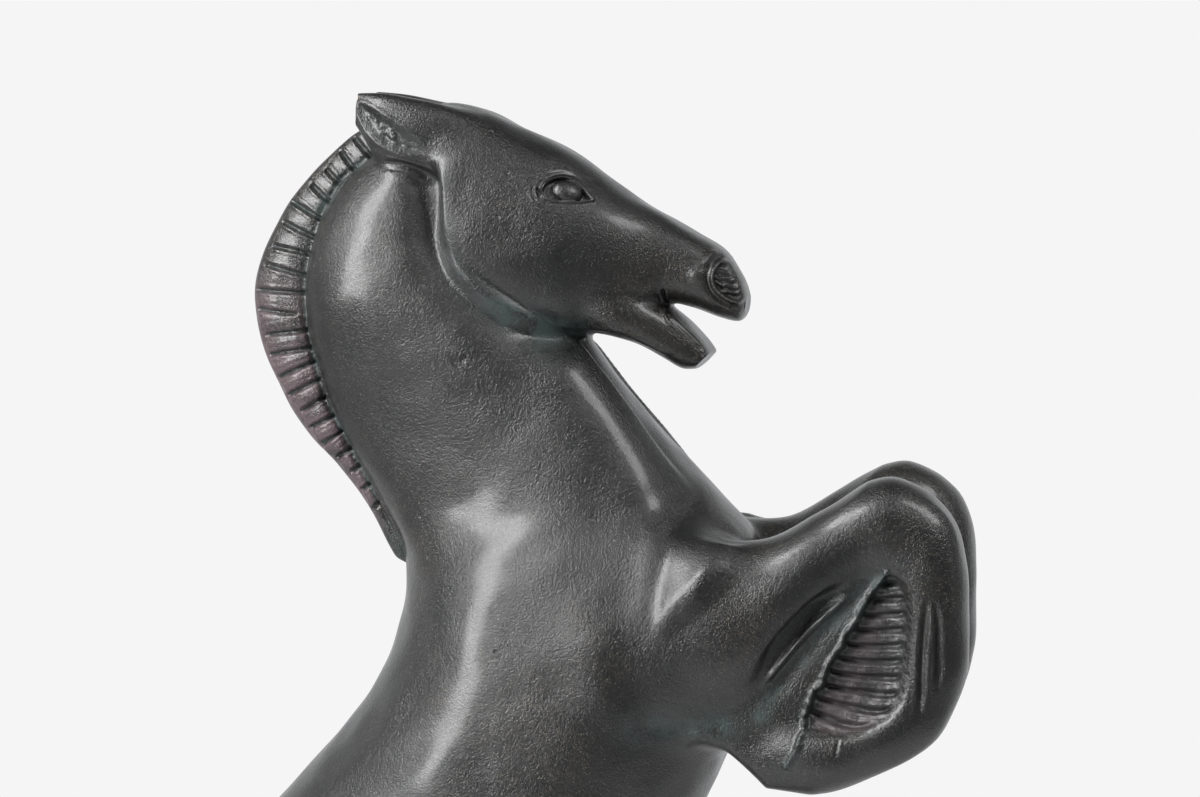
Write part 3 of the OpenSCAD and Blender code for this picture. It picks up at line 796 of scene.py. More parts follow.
@dataclass
class Chisel:
    """The hand work on the bronze: how far each point moves out along its normal, and how hollow it is.

    The marks on the horse's right are worked on its left as well.
    """

    points: Array
    normals: Array
    offset: Array = field(init=False)
    hollow: Array = field(init=False)
    x: Array = field(init=False)
    z: Array = field(init=False)
    out: Array = field(init=False)
    facing: Array = field(init=False)

    def __post_init__(self) -> None:
        """Starts with no marks."""
        self.offset = np.zeros(len(self.points))
        self.hollow = np.zeros(len(self.points))
        self.x, self.z = self.points[:, 0], self.points[:, 2]
        self.out = np.abs(self.points[:, 1])
        self.facing = smooth(0.15, 0.5, self.normals[:, 1] * np.sign(self.points[:, 1]))

    def move(self, chosen: Array, change: Array, shade: float = 1.0) -> None:
        """Adds a change at some of the points, and shades them by how deep it goes.

        Args:
            chosen: Which points change.
            change: How far each of them moves, in millimetres.
            shade: How much of the depth counts as hollow.
        """
        self.offset[chosen] += change
        self.hollow[chosen] += np.clip(-change, 0.0, None) * shade

    def near(self, path: Path, margin: float, least_out: float = 0.0) -> Array:
        """The outward-facing points inside a path's bounds, as indices.

        Args:
            path: The path.
            margin: How far past its bounds to go.
            least_out: The least distance from the horse's middle.

        Returns:
            The points' indices.
        """
        spots = np.array(path.points)
        low, high = spots.min(axis=0) - margin, spots.max(axis=0) + margin
        inside = (self.x > low[0]) & (self.x < high[0]) & (self.z > low[1]) & (self.z < high[1])
        return np.flatnonzero(inside & (self.facing > 0) & (self.out > least_out))

    def groove(
        self, path: Path, depth: float, width: float, lip: float = 0.0, fade: float = 0.12, least_out: float = 0.0
    ) -> None:
        """A groove along a path, or a ridge if its depth is negative.

        The bell of the distance, times the depth, less a smaller bell for a lip on each side.

        Args:
            path: The groove's middle.
            depth: How deep it is.
            width: Half its width at a third of its depth.
            lip: How high the burr on each side stands.
            fade: The share of its length over which each end runs out.
            least_out: The least distance from the horse's middle.
        """
        chosen = self.near(path, 4.0 * width, least_out)
        gap, along, _ = path.measure(self.x[chosen], self.z[chosen])
        ends = smooth(0.0, fade, along) * smooth(0.0, fade, 1.0 - along) * self.facing[chosen]
        self.move(chosen, (lip * hump(gap - 1.9 * width, 0.6 * width) - depth * hump(gap, width)) * ends)

    def bump(self, x: float, z: float, radius: float, height: float) -> None:
        """A round swelling on both sides of the horse.

        Args:
            x: Its middle's place along the horse.
            z: Its middle's height.
            radius: Its radius at a third of its height.
            height: How far it stands out.
        """
        chosen = self.near(Path(((x, z),)), 3.0 * radius)
        gap = np.hypot(self.x[chosen] - x, self.z[chosen] - z)
        self.move(chosen, height * hump(gap, radius) * self.facing[chosen], 0.2)

    def mane(self, closeness: Array) -> None:
        """The notches across the crest, about 5.4 mm apart, the lands between them and the groove at its foot.

        Args:
            closeness: Distance of each point to the crest's own solid.
        """
        chosen = np.flatnonzero(closeness < 2.0)
        x, z = self.x[chosen], self.z[chosen]
        _, along, _ = CREST_MIDDLE.measure(x, z)
        from_edge = CREST_EDGE.measure(x, z)[0]
        from_foot, _, side = CREST_GROOVE.measure(x, z)
        inner = from_foot * side
        turn = along * CREST_LENGTH / NOTCH_PITCH
        which = np.rint(turn)
        share = np.abs(turn - which - 0.13 * np.sin(which * 12.9) - 0.02 * (from_edge - 5.0) * np.sin(which * 7.1))
        gap = share * NOTCH_PITCH
        reach = 0.7 * np.sin(which * 4.7)
        across = smooth(0.9, 1.9, from_edge + reach) * smooth(0.6, -0.2, inner) * smooth(1.2, 0.5, closeness[chosen])
        runs = across * smooth(0.08, 0.12, along) * smooth(0.985, 0.95, along)
        notch = 0.3 * hump(gap - 1.15, 0.4) - 1.05 * hump(gap, 0.5)
        lands = 0.45 * smooth(0.15, 0.5, share) * smooth(0.75, 0.45, along)
        self.move(chosen, (notch + lands) * runs)
        ends = smooth(0.02, 0.1, along)
        self.move(chosen, (0.35 * hump(inner - 1.3, 0.6) - 0.75 * hump(inner, 0.6)) * ends)
        self.move(chosen, 0.1 * waves(self.points[chosen], 6.0, 5) * across, 0.0)

    def eye(self) -> None:
        """The eyeball, its two lids and the socket round them."""
        chosen = self.near(EYE, 9.0)
        x, z = self.x[chosen], self.z[chosen]
        inside = -EYE.signed(x, z)
        middle = np.hypot((x - 39.0) / 9.5, (z - 416.2) / 5.5)
        socket = -0.9 * hump(middle, 0.9)
        ball_x, ball_z = (x - 39.4) / 3.7, (z - 415.8 + 0.2 * (x - 39.4)) / 2.7
        ball = 2.4 * np.sqrt(np.clip(1.0 - ball_x**2 - ball_z**2, 0.0, 1.0)) * smooth(0.0, 0.25, inside)
        recess = -0.8 * smooth(0.05, 0.35, inside)
        upper = UPPER_LID.measure(x, z)[0]
        lower = LOWER_LID.measure(x, z)[0]
        lids = (0.75 * hump(upper + 0.05, 0.4) + 0.6 * hump(lower + 0.05, 0.34)) * smooth(0.3, 0.1, inside)
        crease = -0.25 * hump(upper - 1.15, 0.4) * smooth(0.2, -0.3, inside) * smooth(44.0, 39.0, x)
        crease = crease * smooth(414.0, 416.5, z)
        self.move(chosen, (socket + ball + recess + lids + crease) * self.facing[chosen], 0.45)

    def jowl(self) -> None:
        """The cheek's edge: a bank about 4 mm wide from the cheek down to the neck."""
        chosen = self.near(JOWL, 16.0, 4.0)
        gap, along, side = JOWL.measure(self.x[chosen], self.z[chosen])
        signed = gap * side
        ends = smooth(0.0, 0.1, along) * smooth(1.0, 0.9, along) * self.facing[chosen]
        cheek = 1.0 * hump(np.maximum(signed, 0.0), 7.0) * smooth(-2.0, 1.4, signed)
        fall = 2.0 + 1.2 * smooth(0.55, 0.15, along)
        neck = fall * hump(np.minimum(signed + 2.0, 0.0), 6.0) * smooth(0.8, -2.8, signed)
        self.move(chosen, (cheek - neck) * ends, 0.25)

    def shoulder(self) -> None:
        """The breast's edge: a facet that starts as a point, rises forwards and breaks off over the forearm.

        The facet's height is 0.34 x half of (t + the root of (t^2 + 6)), with t the distance up its slope,
        at most 7, less a bell 1.1 deep round t = -5.
        """
        (x0, z0), (x1, z1) = BREAST_EDGE
        chosen = self.near(Path(BREAST_EDGE), 20.0, 3.0)
        length = math.hypot(x1 - x0, z1 - z0)
        way = ((x1 - x0) / length, (z1 - z0) / length)
        from_x, from_z = self.x[chosen] - x0, self.z[chosen] - z0
        signed = from_z * way[0] - from_x * way[1]
        slope = np.minimum(0.9 * from_x - 0.43 * from_z, 7.0)
        facet = 0.17 * (slope + np.sqrt(np.square(slope) + 6.0)) - 1.1 * hump(slope + 5.0, 4.0)
        ends = smooth(-4.0, 3.0, from_x) * smooth(25.0, 9.0, from_x) * smooth(22.0, 14.0, signed)
        ends = ends * smooth(3.0, 12.0, self.out[chosen])
        below = smooth(-8.0, 0.3, signed)
        self.move(chosen, facet * below * ends * self.facing[chosen], 0.1)

    def throat(self) -> None:
        """The broad cord of muscle down the front of the neck, which makes the neck blunt there."""
        chosen = self.near(THROAT, 22.0, 1.0)
        gap, along, side = THROAT.measure(self.x[chosen], self.z[chosen])
        ends = smooth(0.0, 0.25, along) * smooth(1.0, 0.75, along)
        self.move(chosen, 2.2 * hump(gap * side + 3.0, 7.5) * ends * smooth(0.35, 0.8, self.facing[chosen]), 0.1)

    def nostril(self) -> None:
        """The nostril's rough floor, its rim and the fold behind it."""
        chosen = self.near(NOSTRIL, 6.0, 2.0)
        inside = -NOSTRIL.signed(self.x[chosen], self.z[chosen])
        streak = np.sin(self.z[chosen] * 3.6 + 0.5 * self.x[chosen] + waves(self.points[chosen], 3.0, 12))
        rough = 0.26 * streak + 0.1 * waves(self.points[chosen], 1.6, 11)
        floor = (rough - 1.2) * smooth(0.1, 0.7, inside)
        rim = 0.6 * hump(inside + 0.1, 0.42)
        moat = -0.55 * hump(inside + 1.35, 0.7) * smooth(0.0, -0.6, inside)
        self.move(chosen, (floor + rim + moat) * self.facing[chosen])

    def ear(self) -> None:
        """The cup of the laid-back ear, with its rough floor and its rim."""
        chosen = self.near(EAR_CUP, 5.0, 6.0)
        inside = -EAR_CUP.signed(self.x[chosen], self.z[chosen])
        rough = 0.13 * waves(self.points[chosen], 4.2, 3) + 0.11 * waves(self.points[chosen], 1.8, 4)
        open_end = smooth(5.5, -2.0, self.x[chosen])
        floor = (rough - 0.4 - 0.5 * open_end) * smooth(0.0, 2.2, inside)
        rim = 0.35 * hump(inside + 0.2, 0.5) * open_end
        self.move(chosen, (floor + rim) * self.facing[chosen], 0.12)

    def pocket(self) -> None:
        """The hatched pocket in the folded foreleg: a chipped steep wall, a soft wall, cut hatches and painted shade on
        its floor.
        """
        chosen = self.near(POCKET, 5.0, 24.0)
        x, z = self.x[chosen], self.z[chosen]
        inside = -POCKET.signed(x, z)
        steep = np.abs(CHIPPED_EDGE.measure(x, z)[0] + 0.22 * waves(self.points[chosen], 2.6, 14))
        soft = POCKET_WALL.measure(x, z)[0]
        within = (inside > 0).astype(float)
        floor = -1.9 * within * smooth(0.0, 0.9, steep) * smooth(0.0, 5.0, soft)
        chips = 1.3 * hump(steep, 0.65) * (0.75 + 0.25 * waves(self.points[chosen], 3.0, 8))
        level = (z - 0.012 * np.square(x - 113.0) + 0.05 * (x - 113.0)) / 3.7
        gap = np.abs(level - np.rint(level)) * 3.7
        runs = within * smooth(0.4, 1.3, steep) * smooth(2.6, 4.4, soft) * smooth(286.5, 288.5, z)
        hatch = (0.35 * hump(gap - 1.25, 0.45) - 1.0 * hump(gap, 0.6)) * runs
        rough = 0.12 * waves(self.points[chosen], 2.2, 9) * within * smooth(0.5, 2.0, soft)
        self.move(chosen, (floor + chips + hatch + rough) * self.facing[chosen], 0.5)
        # Painted shade: the pocket's floor counts as hollow, so the patina paints it dark teal grey.
        self.hollow[chosen] += 0.15 * within * smooth(0.5, 2.5, soft)

    def tail_locks(self, closeness: Array) -> None:
        """Locks down the tail: grooves round it that drift sideways as they run down.

        Args:
            closeness: Distance of each point to the tail's own solid.
        """
        chosen = np.flatnonzero(closeness < 1.5)
        _, along, _ = TAIL_MIDDLE.measure(self.x[chosen], self.z[chosen])
        middle = np.interp(self.z[chosen], [0, 35, 66, 102, 134, 158], [-84, -96.5, -105.5, -110.5, -110, -104.5])
        around = np.arctan2(self.points[chosen, 1], self.x[chosen] - middle)
        turn = around * 14.0 / (2.0 * math.pi) + 0.8 * np.sin(along * 7.0) + 0.15 * np.sin(along * 60.0 + around * 3.0)
        gap = np.abs(turn - np.rint(turn))
        runs = smooth(0.1, 0.2, along) * smooth(1.5, 0.5, closeness[chosen])
        self.move(chosen, (0.2 * hump(gap - 0.5, 0.25) - 0.8 * hump(gap, 0.11)) * runs)

    def work(self, mane: Array, tail: Array) -> None:
        """Does all the work on the horse.

        Args:
            mane: Distance of each point to the crest's own solid.
            tail: Distance of each point to the tail's own solid.
        """
        self.offset += 0.3 * waves(self.points, 34.0, 1) + 0.1 * waves(self.points, 12.0, 2)
        self.jowl()
        self.shoulder()
        self.throat()
        self.eye()
        self.nostril()
        self.ear()
        self.mane(mane)
        self.tail_locks(tail)
        self.groove(NOSTRIL_FOLD, -0.45, 0.7, least_out=2.0)
        self.groove(LIP, 0.65, 0.42, lip=0.4, fade=0.08)
        self.groove(JAW_EDGE, -0.35, 0.5)
        self.groove(EAR_FOOT, 0.8, 0.8, lip=0.25, fade=0.35, least_out=5.0)
        for wrinkle in EYE_WRINKLES:
            self.groove(wrinkle, 0.45, 0.35, lip=0.2)
        self.groove(ARMPIT, 0.55, 1.5, fade=0.3, least_out=16.0)
        self.groove(SLOT, 2.4, 1.4, fade=0.35, least_out=24.0)
        self.groove(SLOT_LIP, -1.3, 0.85, fade=0.2, least_out=24.0)
        self.groove(INNER_FOLD, 0.6, 2.2, fade=0.2, least_out=24.0)
        self.pocket()
        self.groove(RIBS, -1.4, 10.0, fade=0.3, least_out=8.0)
        for path in SHANK_GROOVES:
            self.groove(path, 0.9, 0.75, lip=0.2, fade=0.25, least_out=24.0)
        for path in SCRATCHES:
            self.groove(path, 0.42, 0.38, lip=0.14, fade=0.35, least_out=10.0)
        for x, z, radius, height in (
            (50, 337, 7, -0.6), (48, 304, 6, 0.7), (52.5, 294.5, 5, 0.7), (41, 296, 6, -0.6),
            (70.6, 395, 1.7, 0.8),
            (134, 337, 7, 0.8), (60, 402, 7, -0.6), (22, 400, 12, 0.8), (-50, 66, 7, 0.8),
        ):
            self.bump(x, z, radius, height)


# ---------------------------------------------------------------- limbs and skin

REACH = 10.5
Corner = tuple[float, float, float]


@dataclass(frozen=True)
class Limb:
    """Solids that are cast together, each with its fillet to those before it.

    The last item of each part says whether it is also on the other side of this limb.
    """

    parts: tuple[tuple[Loft | Plate, float, bool], ...]
    low: Corner
    high: Corner
    fillet: float = 0.0

    def field(self, step: float, low: Corner, high: Corner) -> "Field":
        """The limb's distances, in the part of a box that it can reach.

        Args:
            step: The spacing of the samples, in millimetres.
            low: The box's lowest corner.
            high: The box's highest corner.

        Returns:
            The limb's field.
        """
        block = Block.around(
            [max(a, b) for a, b in zip(self.low, low)], [min(a, b) for a, b in zip(self.high, high)], step
        )
        values = np.full(block.size, REACH, dtype=np.float32)
        for solid, radius, twin in self.parts:
            own = solid.sampled(block, REACH)
            values = joined(values, own, max(radius, 0.1))
            if twin:
                values = joined(values, own[:, ::-1, :], max(radius, 0.1))
        return Field(block, values)


WHOLE = ((-130.0, -46.0, -3.0), (148.0, 46.0, 447.0))
HEAD_BOX = ((-22.0, -26.0, 362.0), (90.0, 26.0, 446.0))
LIMBS = {
    Casting.BODY: Limb(((TRUNK, 0, False), (MANE, 1.2, False)), (-106, -46, 112), (98, 46, 447)),
    Casting.HEAD: Limb(
        ((SKULL, 0, False), (LOWER_JAW, 2.6, False), (EAR, 2.4, True)), (-27, -34, 360), (94, 34, 447), 1.4
    ),
    Casting.RIGHT_FORELEG: Limb(
        ((FOREARM, 0, False), (SHIN, 6.0, False), (Plate(FORELEG_WEB, -24, 8.4, 3.0), 3.0, False)),
        (26, -46, 259), (148, 46, 358), 7.5,
    ),
    Casting.RIGHT_HIND_LEG: Limb(((HIND_LEG, 0, False),), (-104, -46, -3), (25, 46, 222), 10.0),
    Casting.TAIL: Limb(((TAIL, 0, False),), (-130, -28, -3), (-62, 28, 182), 5.0),
}
TWINS = {Casting.RIGHT_FORELEG: Casting.LEFT_FORELEG, Casting.RIGHT_HIND_LEG: Casting.LEFT_HIND_LEG}


@dataclass
class Skin:
    """The horse's whole outer surface, in the horse's own millimetres."""

    step: float
    limbs: dict[Casting, Field] = field(default_factory=dict)
    surface: Surface = field(init=False)

    def fields(self, step: float, low: Corner, high: Corner) -> dict[Casting, Field]:
        """Every limb's field in a box, the left ones mirrored from the right.

        Args:
            step: The spacing of the samples.
            low: The lowest corner of the box.
            high: Its highest corner.

        Returns:
            The fields of the limbs that reach into the box.
        """
        made = {}
        for name, limb in LIMBS.items():
            if all(a < b for a, b in zip(limb.low, high)) and all(a > b for a, b in zip(limb.high, low)):
                made[name] = limb.field(step, low, high)
                if name in TWINS:
                    made[TWINS[name]] = made[name].mirrored()
        return made

    def blended(self, fields: dict[Casting, Field], low: Corner, high: Corner, step: float) -> Field:
        """The limbs joined to the body with their fillets.

        The head's fillet is sharp at the jowl and wide at the poll and the throat.

        Args:
            fields: The limbs' fields.
            low: The lowest corner of the box to fill.
            high: Its highest corner.
            step: The spacing of the samples.

        Returns:
            The joined field.
        """
        block = Block.around(low, high, step)
        whole = Field(block, np.full(block.size, REACH, dtype=np.float32))
        whole.blend_in(fields[Casting.BODY], 0.1)
        for name, limb_field in fields.items():
            if name is Casting.BODY:
                continue
            right = next((k for k, v in TWINS.items() if v is name), name)
            radius = LIMBS[right].fillet
            if name is Casting.HEAD:
                x, _, z = limb_field.block.axes()
                radius = radius + 5.0 * smooth(12.0, -6.0, x) * smooth(408.0, 424.0, z) + 2.0 * smooth(34.0, 44.0, x)
            if right is Casting.RIGHT_FORELEG:
                radius = radius + 3.0 * smooth(302.0, 288.0, limb_field.block.axes()[2])
            whole.blend_in(limb_field, radius)
        return whole

    def closeness(self, name: Casting, points: Array) -> Array:
        """Distances of points to one limb, cut off at the reach.

        Args:
            name: The limb.
            points: The points.

        Returns:
            The distance of each, below 0 inside the limb.
        """
        own = self.limbs[name]
        first = np.array(own.block.low) * own.block.step
        last = first + (np.array(own.block.size) - 1) * own.block.step
        near = ((points > first + 1.0) & (points < last - 1.0)).all(axis=1)
        result = np.full(len(points), REACH)
        result[near] = own.at(points[near])[0]
        return result

    def fine_places(self, points: Array) -> Array:
        """Which points lie where there is fine carving, once for each level of fineness.

        Args:
            points: The points.

        Returns:
            0, 1 or 2 for each: how often the triangles there are halved.
        """
        x, y, z = points.T
        out = np.abs(y)

        def within(path: Path, margin: float, least: float) -> Array:
            """The points inside a path's bounds on the flanks.

            Args:
                path: The path.
                margin: How far past its bounds to go.
                least: The least distance from the horse's middle.

            Returns:
                True for each point inside.
            """
            spots = np.array(path.points)
            low, high = spots.min(axis=0) - margin, spots.max(axis=0) + margin
            return (x > low[0]) & (x < high[0]) & (z > low[1]) & (z < high[1]) & (out > least)

        level = np.zeros(len(points), dtype=int)
        crest = CREST_MIDDLE.measure(x, z)[0]
        level[(crest < 12.0) & (out < 11.0) & (z > 318) & (x < 2)] = 1
        for path, margin, least in (
            (EYE, 6, 4), (NOSTRIL, 5, -1), (LIP, 5, -1), (EAR_CUP, 5, 3), (EAR_FOOT, 4, 4), (JOWL, 3, 4),
            (POCKET, 5, 18), (SLOT, 5, 18), (Path(BREAST_EDGE), 2, 16), (SHANK_GROOVES[0], 3, 18),
        ):
            level[within(path, margin, least)] = 1
        level[within(EYE, 2.5, 4)] = 2
        level[within(NOSTRIL, 1.5, 3)] = 2
        return level

    def shape(self) -> None:
        """Blends the limbs, lays triangles over them, refines the carved places and carves them."""
        self.limbs = self.fields(self.step, *WHOLE)
        whole = self.blended(self.limbs, *WHOLE, self.step)
        surface = whole.surface()
        log.info("skin: %d triangles before the fine places", len(surface.triangles))
        for level in (1, 2):
            if self.step > COARSE_STEP and level == 2:
                break
            chosen = self.fine_places(surface.points)[surface.triangles].max(axis=1) >= level
            surface = surface.refine(chosen)
        surface.points = whole.settle(surface.points, 2)
        fine_step = self.step / 2.0
        head = self.blended(self.fields(fine_step, *HEAD_BOX), *HEAD_BOX, fine_step)
        low, high = (np.array(c) for c in HEAD_BOX)
        depth = np.minimum(surface.points - low, high - surface.points).min(axis=1)
        near = np.flatnonzero(depth > 1.0)
        share = smooth(1.0, 4.0, depth[near])[:, None]
        fine = head.settle(surface.points[near], 3)
        surface.points[near] += (fine - surface.points[near]) * share
        self.surface = surface
        self.carve()

    def carve(self) -> None:
        """Carves the skin, and keeps at each point how hollow, worn and tinted it is."""
        points, outward = self.surface.points, self.surface.normals()
        crest = self.crest_closeness(points)
        chisel = Chisel(points, outward)
        chisel.work(crest, self.closeness(Casting.TAIL, points))
        self.surface.points = points + outward * chisel.offset[:, None]
        self.surface.values = {
            "normal": self.surface.normals(),
            "hollow": np.clip(chisel.hollow, 0.0, 2.0),
            "worn": np.clip(self.worn(), -1.0, 1.0) + self.ear_tips(points),
            "plum": self.plum(points, crest, chisel.hollow),
            "verdigris": np.clip(self.verdigris(points) + chisel.hollow * (crest < 1.0), 0.0, 1.0),
        }

    def crest_closeness(self, points: Array) -> Array:
        """Distances of points to the crest alone, cut off at the reach.

        Args:
            points: The points.

        Returns:
            The distance of each, below 0 inside the crest.
        """
        low, high = (-50, -14, 316), (4, 14, 440)
        field_of_crest = Limb(((MANE, 0, False),), low, high).field(self.step, low, high)
        first = np.array(low) + 2.0
        near = ((points > first) & (points < np.array(high) - 2.0)).all(axis=1)
        result = np.full(len(points), REACH)
        result[near] = field_of_crest.at(points[near])[0]
        return result

    def worn(self) -> Array:
        """How far each point stands out of its neighbourhood, as wear finds it.

        The points are averaged with their neighbours four times; the height above that average,
        over the mean edge length, is the measure. It is above 0 on ridges and below 0 in creases.

        Returns:
            The measure at each point.
        """
        edges, _ = self.surface.edges()
        count = len(self.surface.points)
        first, second = edges[:, 0], edges[:, 1]
        uses = np.bincount(first, minlength=count) + np.bincount(second, minlength=count)
        soft = self.surface.points.copy()
        length = np.linalg.norm(soft[first] - soft[second], axis=1)
        mean = (np.bincount(first, length, count) + np.bincount(second, length, count)) / np.maximum(uses, 1)
        for _ in range(4):
            for axis in range(3):
                values = soft[:, axis].copy()
                total = np.bincount(first, values[second], count) + np.bincount(second, values[first], count)
                soft[:, axis] = 0.4 * values + 0.6 * total / np.maximum(uses, 1)
        height = ((self.surface.points - soft) * self.surface.normals()).sum(axis=1)
        return height / np.maximum(mean, 1e-3)

    def ear_tips(self, points: Array) -> Array:
        """The bare spot at the tip of each ear, where the patina has worn through."""
        return 2.2 * hump(np.hypot(points[:, 0] + 14.4, points[:, 2] - 438.4), 1.1)

    def plum(self, points: Array, crest: Array, hollow: Array) -> Array:
        """Where the patina turns plum: the crest's lower half and the pocket in the foreleg.

        Args:
            points: The points.
            crest: Their distances to the crest.
            hollow: How hollow each of them is.

        Returns:
            The share of plum at each point, 0 to 1.
        """
        x, y, z = points.T
        inner = smooth(1.2, 0.0, crest) * smooth(402.0, 380.0, z) * smooth(326.0, 340.0, z) * smooth(0.75, 0.3, hollow)
        inside = smooth(1.0, 3.5, -POCKET.signed(x, z)) * smooth(121.0, 114.0, x) * smooth(20.0, 26.0, np.abs(y))
        return np.clip(inner + 0.6 * inside * smooth(0.3, 0.9, hollow), 0.0, 1.0)

    def verdigris(self, points: Array) -> Array:
        """Where the patina turns teal: along the jowl and throat, the crest's foot and the armpit.

        Args:
            points: The points.

        Returns:
            The share of teal at each point, 0 to 1.
        """
        x, y, z = points.T
        out = np.abs(y)
        jowl = hump(JOWL.measure(x, z)[0], 2.6) * (out > 5.0) * smooth(0.0, 30.0, x)
        throat = hump(np.hypot(x - 30.0, (z - 381.0) * 1.4), 9.0) * (out < 20.0)
        foot = hump(CREST_GROOVE.measure(x, z)[0], 1.6) * (out < 9.0)
        armpit = hump(ARMPIT.measure(x, z)[0], 3.5) + hump(INNER_FOLD.measure(x, z)[0], 2.2) * (out > 18.0)
        edge = hump(CHIPPED_EDGE.measure(x, z)[0], 1.4) * (out > 20.0)
        ear = 0.25 * smooth(-0.5, 1.5, -EAR_CUP.signed(x, z)) * (out > 5.0) * (z > 420)
        return np.clip(jowl + 0.5 * throat + 0.8 * foot + 0.9 * armpit + 0.6 * edge + ear, 0.0, 1.0)

    def pieces(self) -> dict[str, Surface]:
        """Cuts the skin into the castings along the lines where two limbs are equally near.

        Returns:
            A closed surface for each piece, by name.
        """
        rest = self.surface
        made = {}
        names = [c for c in Casting if c is not Casting.BODY]
        for name in names:
            own = self.closeness(name, rest.points)
            others = np.min([self.closeness(o, rest.points) for o in self.limbs if o is not name], axis=0)
            rest.values["seam"] = others - own
            cut, above = rest.cut(rest.values["seam"])
            made[name.value] = cut.part(above)
            rest = cut.part(~above)
        cut, above = rest.cut(rest.points[:, 2] - COLLAR_HEIGHT - COLLAR_SLOPE * rest.points[:, 0])
        made["neck"], made["trunk"] = cut.part(above), cut.part(~above)
        return {name: piece.capped(CAP_DEPTH) for name, piece in made.items()}


# ---------------------------------------------------------------- shader graphs

Socket = bpy.types.NodeSocket
Value = Socket | float | tuple[float, ...]
Colour = tuple[float, float, float, float]


def shade(red: float, green: float, blue: float) -> Colour:
    """An opaque colour in linear light."""
    return (red, green, blue, 1.0)


@dataclass
class Graph:
    """A node tree, with short ways to add to it."""

    tree: bpy.types.NodeTree

    def add(self, kind: str, inputs: dict[str | int, Value] | None = None, **settings: object) -> bpy.types.Node:
        """A new node, with its settings made and its inputs fed.

        Args:
            kind: The node's type, without "ShaderNode".
            inputs: A socket or a constant for each input, by name or number.
            settings: Its other settings.

        Returns:
            The node.
        """
        made = self.tree.nodes.new("ShaderNode" + kind)
        for name, value in settings.items():
            setattr(made, name, value)
        for name, value in (inputs or {}).items():
            self.feed(made.inputs[name], value)
        return made

    def feed(self, socket: Socket, value: Value) -> None:
        """Links a socket to an input, or sets the input's constant.

        Args:
            socket: The input.
            value: What feeds it.
        """
        if isinstance(value, bpy.types.NodeSocket):
            self.tree.links.new(value, socket)
        else:
            socket.default_value = value

    def math(self, operation: str, *values: Value, clamp: bool = False) -> Socket:
        """One arithmetic step on sockets or numbers."""
        return self.add("Math", dict(enumerate(values)), operation=operation, use_clamp=clamp).outputs[0]

    def ramp(self, value: Value, low: float, high: float, start: float = 0.0, end: float = 1.0) -> Socket:
        """A smooth ramp: start where the value is low, end where it is high, 3t² - 2t³ between.

        Args:
            value: The value.
            low: The value at the ramp's start. It may be above high.
            high: The value at its end.
            start: The result at the start.
            end: The result at the end.

        Returns:
            The ramp.
        """
        sockets = {"Value": value, "From Min": low, "From Max": high, "To Min": start, "To Max": end}
        return self.add("MapRange", sockets, interpolation_type="SMOOTHSTEP").outputs["Result"]

    def blend(self, share: Value, first: Value, second: Value, way: str = "MIX") -> Socket:
        """Two colours mixed: first x (1 - share) + second x share, or another way of mixing.

        Args:
            share: How much of the second colour there is.
            first: The first colour.
            second: The second colour.
            way: The way of mixing.

        Returns:
            The mixed colour.
        """
        made = self.add("Mix", data_type="RGBA", blend_type=way, clamp_factor=True)
        for socket, value in zip((made.inputs["Factor"], made.inputs[6], made.inputs[7]), (share, first, second)):
            self.feed(socket, value)
        return made.outputs[2]

    def place(self) -> Socket:
        """The point being shaded, in the object's own metres."""
        return self.add("TexCoord").outputs["Object"]

    def noise(self, place: Value, size: float, detail: float = 3.0, roughness: float = 0.5) -> Socket:
        """Fractal noise from 0 to 1.

        Args:
            place: Where.
            size: The size of its largest features, in millimetres.
            detail: How many finer layers it has.
            roughness: How strong each finer layer is.

        Returns:
            The noise.
        """
        sockets = {"Vector": place, "Scale": 1000.0 / size, "Detail": detail, "Roughness": roughness}
        return self.add("TexNoise", sockets, noise_dimensions="3D").outputs["Fac"]

    def cells(self, place: Value, size: float, feature: str = "F1") -> Socket:
        """Distance to the nearest of scattered points, in cells, each so many millimetres wide."""
        sockets = {"Vector": place, "Scale": 1000.0 / size}
        return self.add("TexVoronoi", sockets, feature=feature).outputs["Distance"]

    def attribute(self, name: str) -> Socket:
        """A value carried at the mesh's points."""
        return self.add("Attribute", attribute_name=name, attribute_type="GEOMETRY").outputs["Fac"]

    def group(self, tree: bpy.types.NodeTree, inputs: dict[str, Value]) -> bpy.types.Node:
        """A use of a shared group, with its inputs fed.

        Args:
            tree: The group's tree.
            inputs: What feeds each input, by name.

        Returns:
            The group's node.
        """
        made = self.tree.nodes.new("ShaderNodeGroup")
        made.node_tree = tree
        for name, value in inputs.items():
            self.feed(made.inputs[name], value)
        return made


@dataclass
class SharedGroup(Graph):
    """A node group that materials share: values go in, colours and values come out."""

    inside: bpy.types.Node = field(init=False)
    outside: bpy.types.Node = field(init=False)

    @staticmethod
    def named(name: str, inputs: dict[str, float], outputs: dict[str, str]) -> "SharedGroup":
        """A new group.

        Args:
            name: The group's name.
            inputs: Its inputs, numbers all, with their defaults.
            outputs: Its outputs, each "Color" or "Float".

        Returns:
            The group, with nothing in it yet but its two ends.
        """
        tree = bpy.data.node_groups.new(name, "ShaderNodeTree")
        for key, value in inputs.items():
            tree.interface.new_socket(key, in_out="INPUT", socket_type="NodeSocketFloat").default_value = value
        for key, kind in outputs.items():
            tree.interface.new_socket(key, in_out="OUTPUT", socket_type="NodeSocket" + kind)
        made = SharedGroup(tree)
        made.inside = tree.nodes.new("NodeGroupInput")
        made.outside = tree.nodes.new("NodeGroupOutput")
        return made

    def out(self, values: dict[str, Value]) -> bpy.types.NodeTree:
        """Feeds the group's outputs.

        Args:
            values: What feeds each output, by name.

        Returns:
            The group's tree.
        """
        for name, value in values.items():
            self.feed(self.outside.inputs[name], value)
        return self.tree


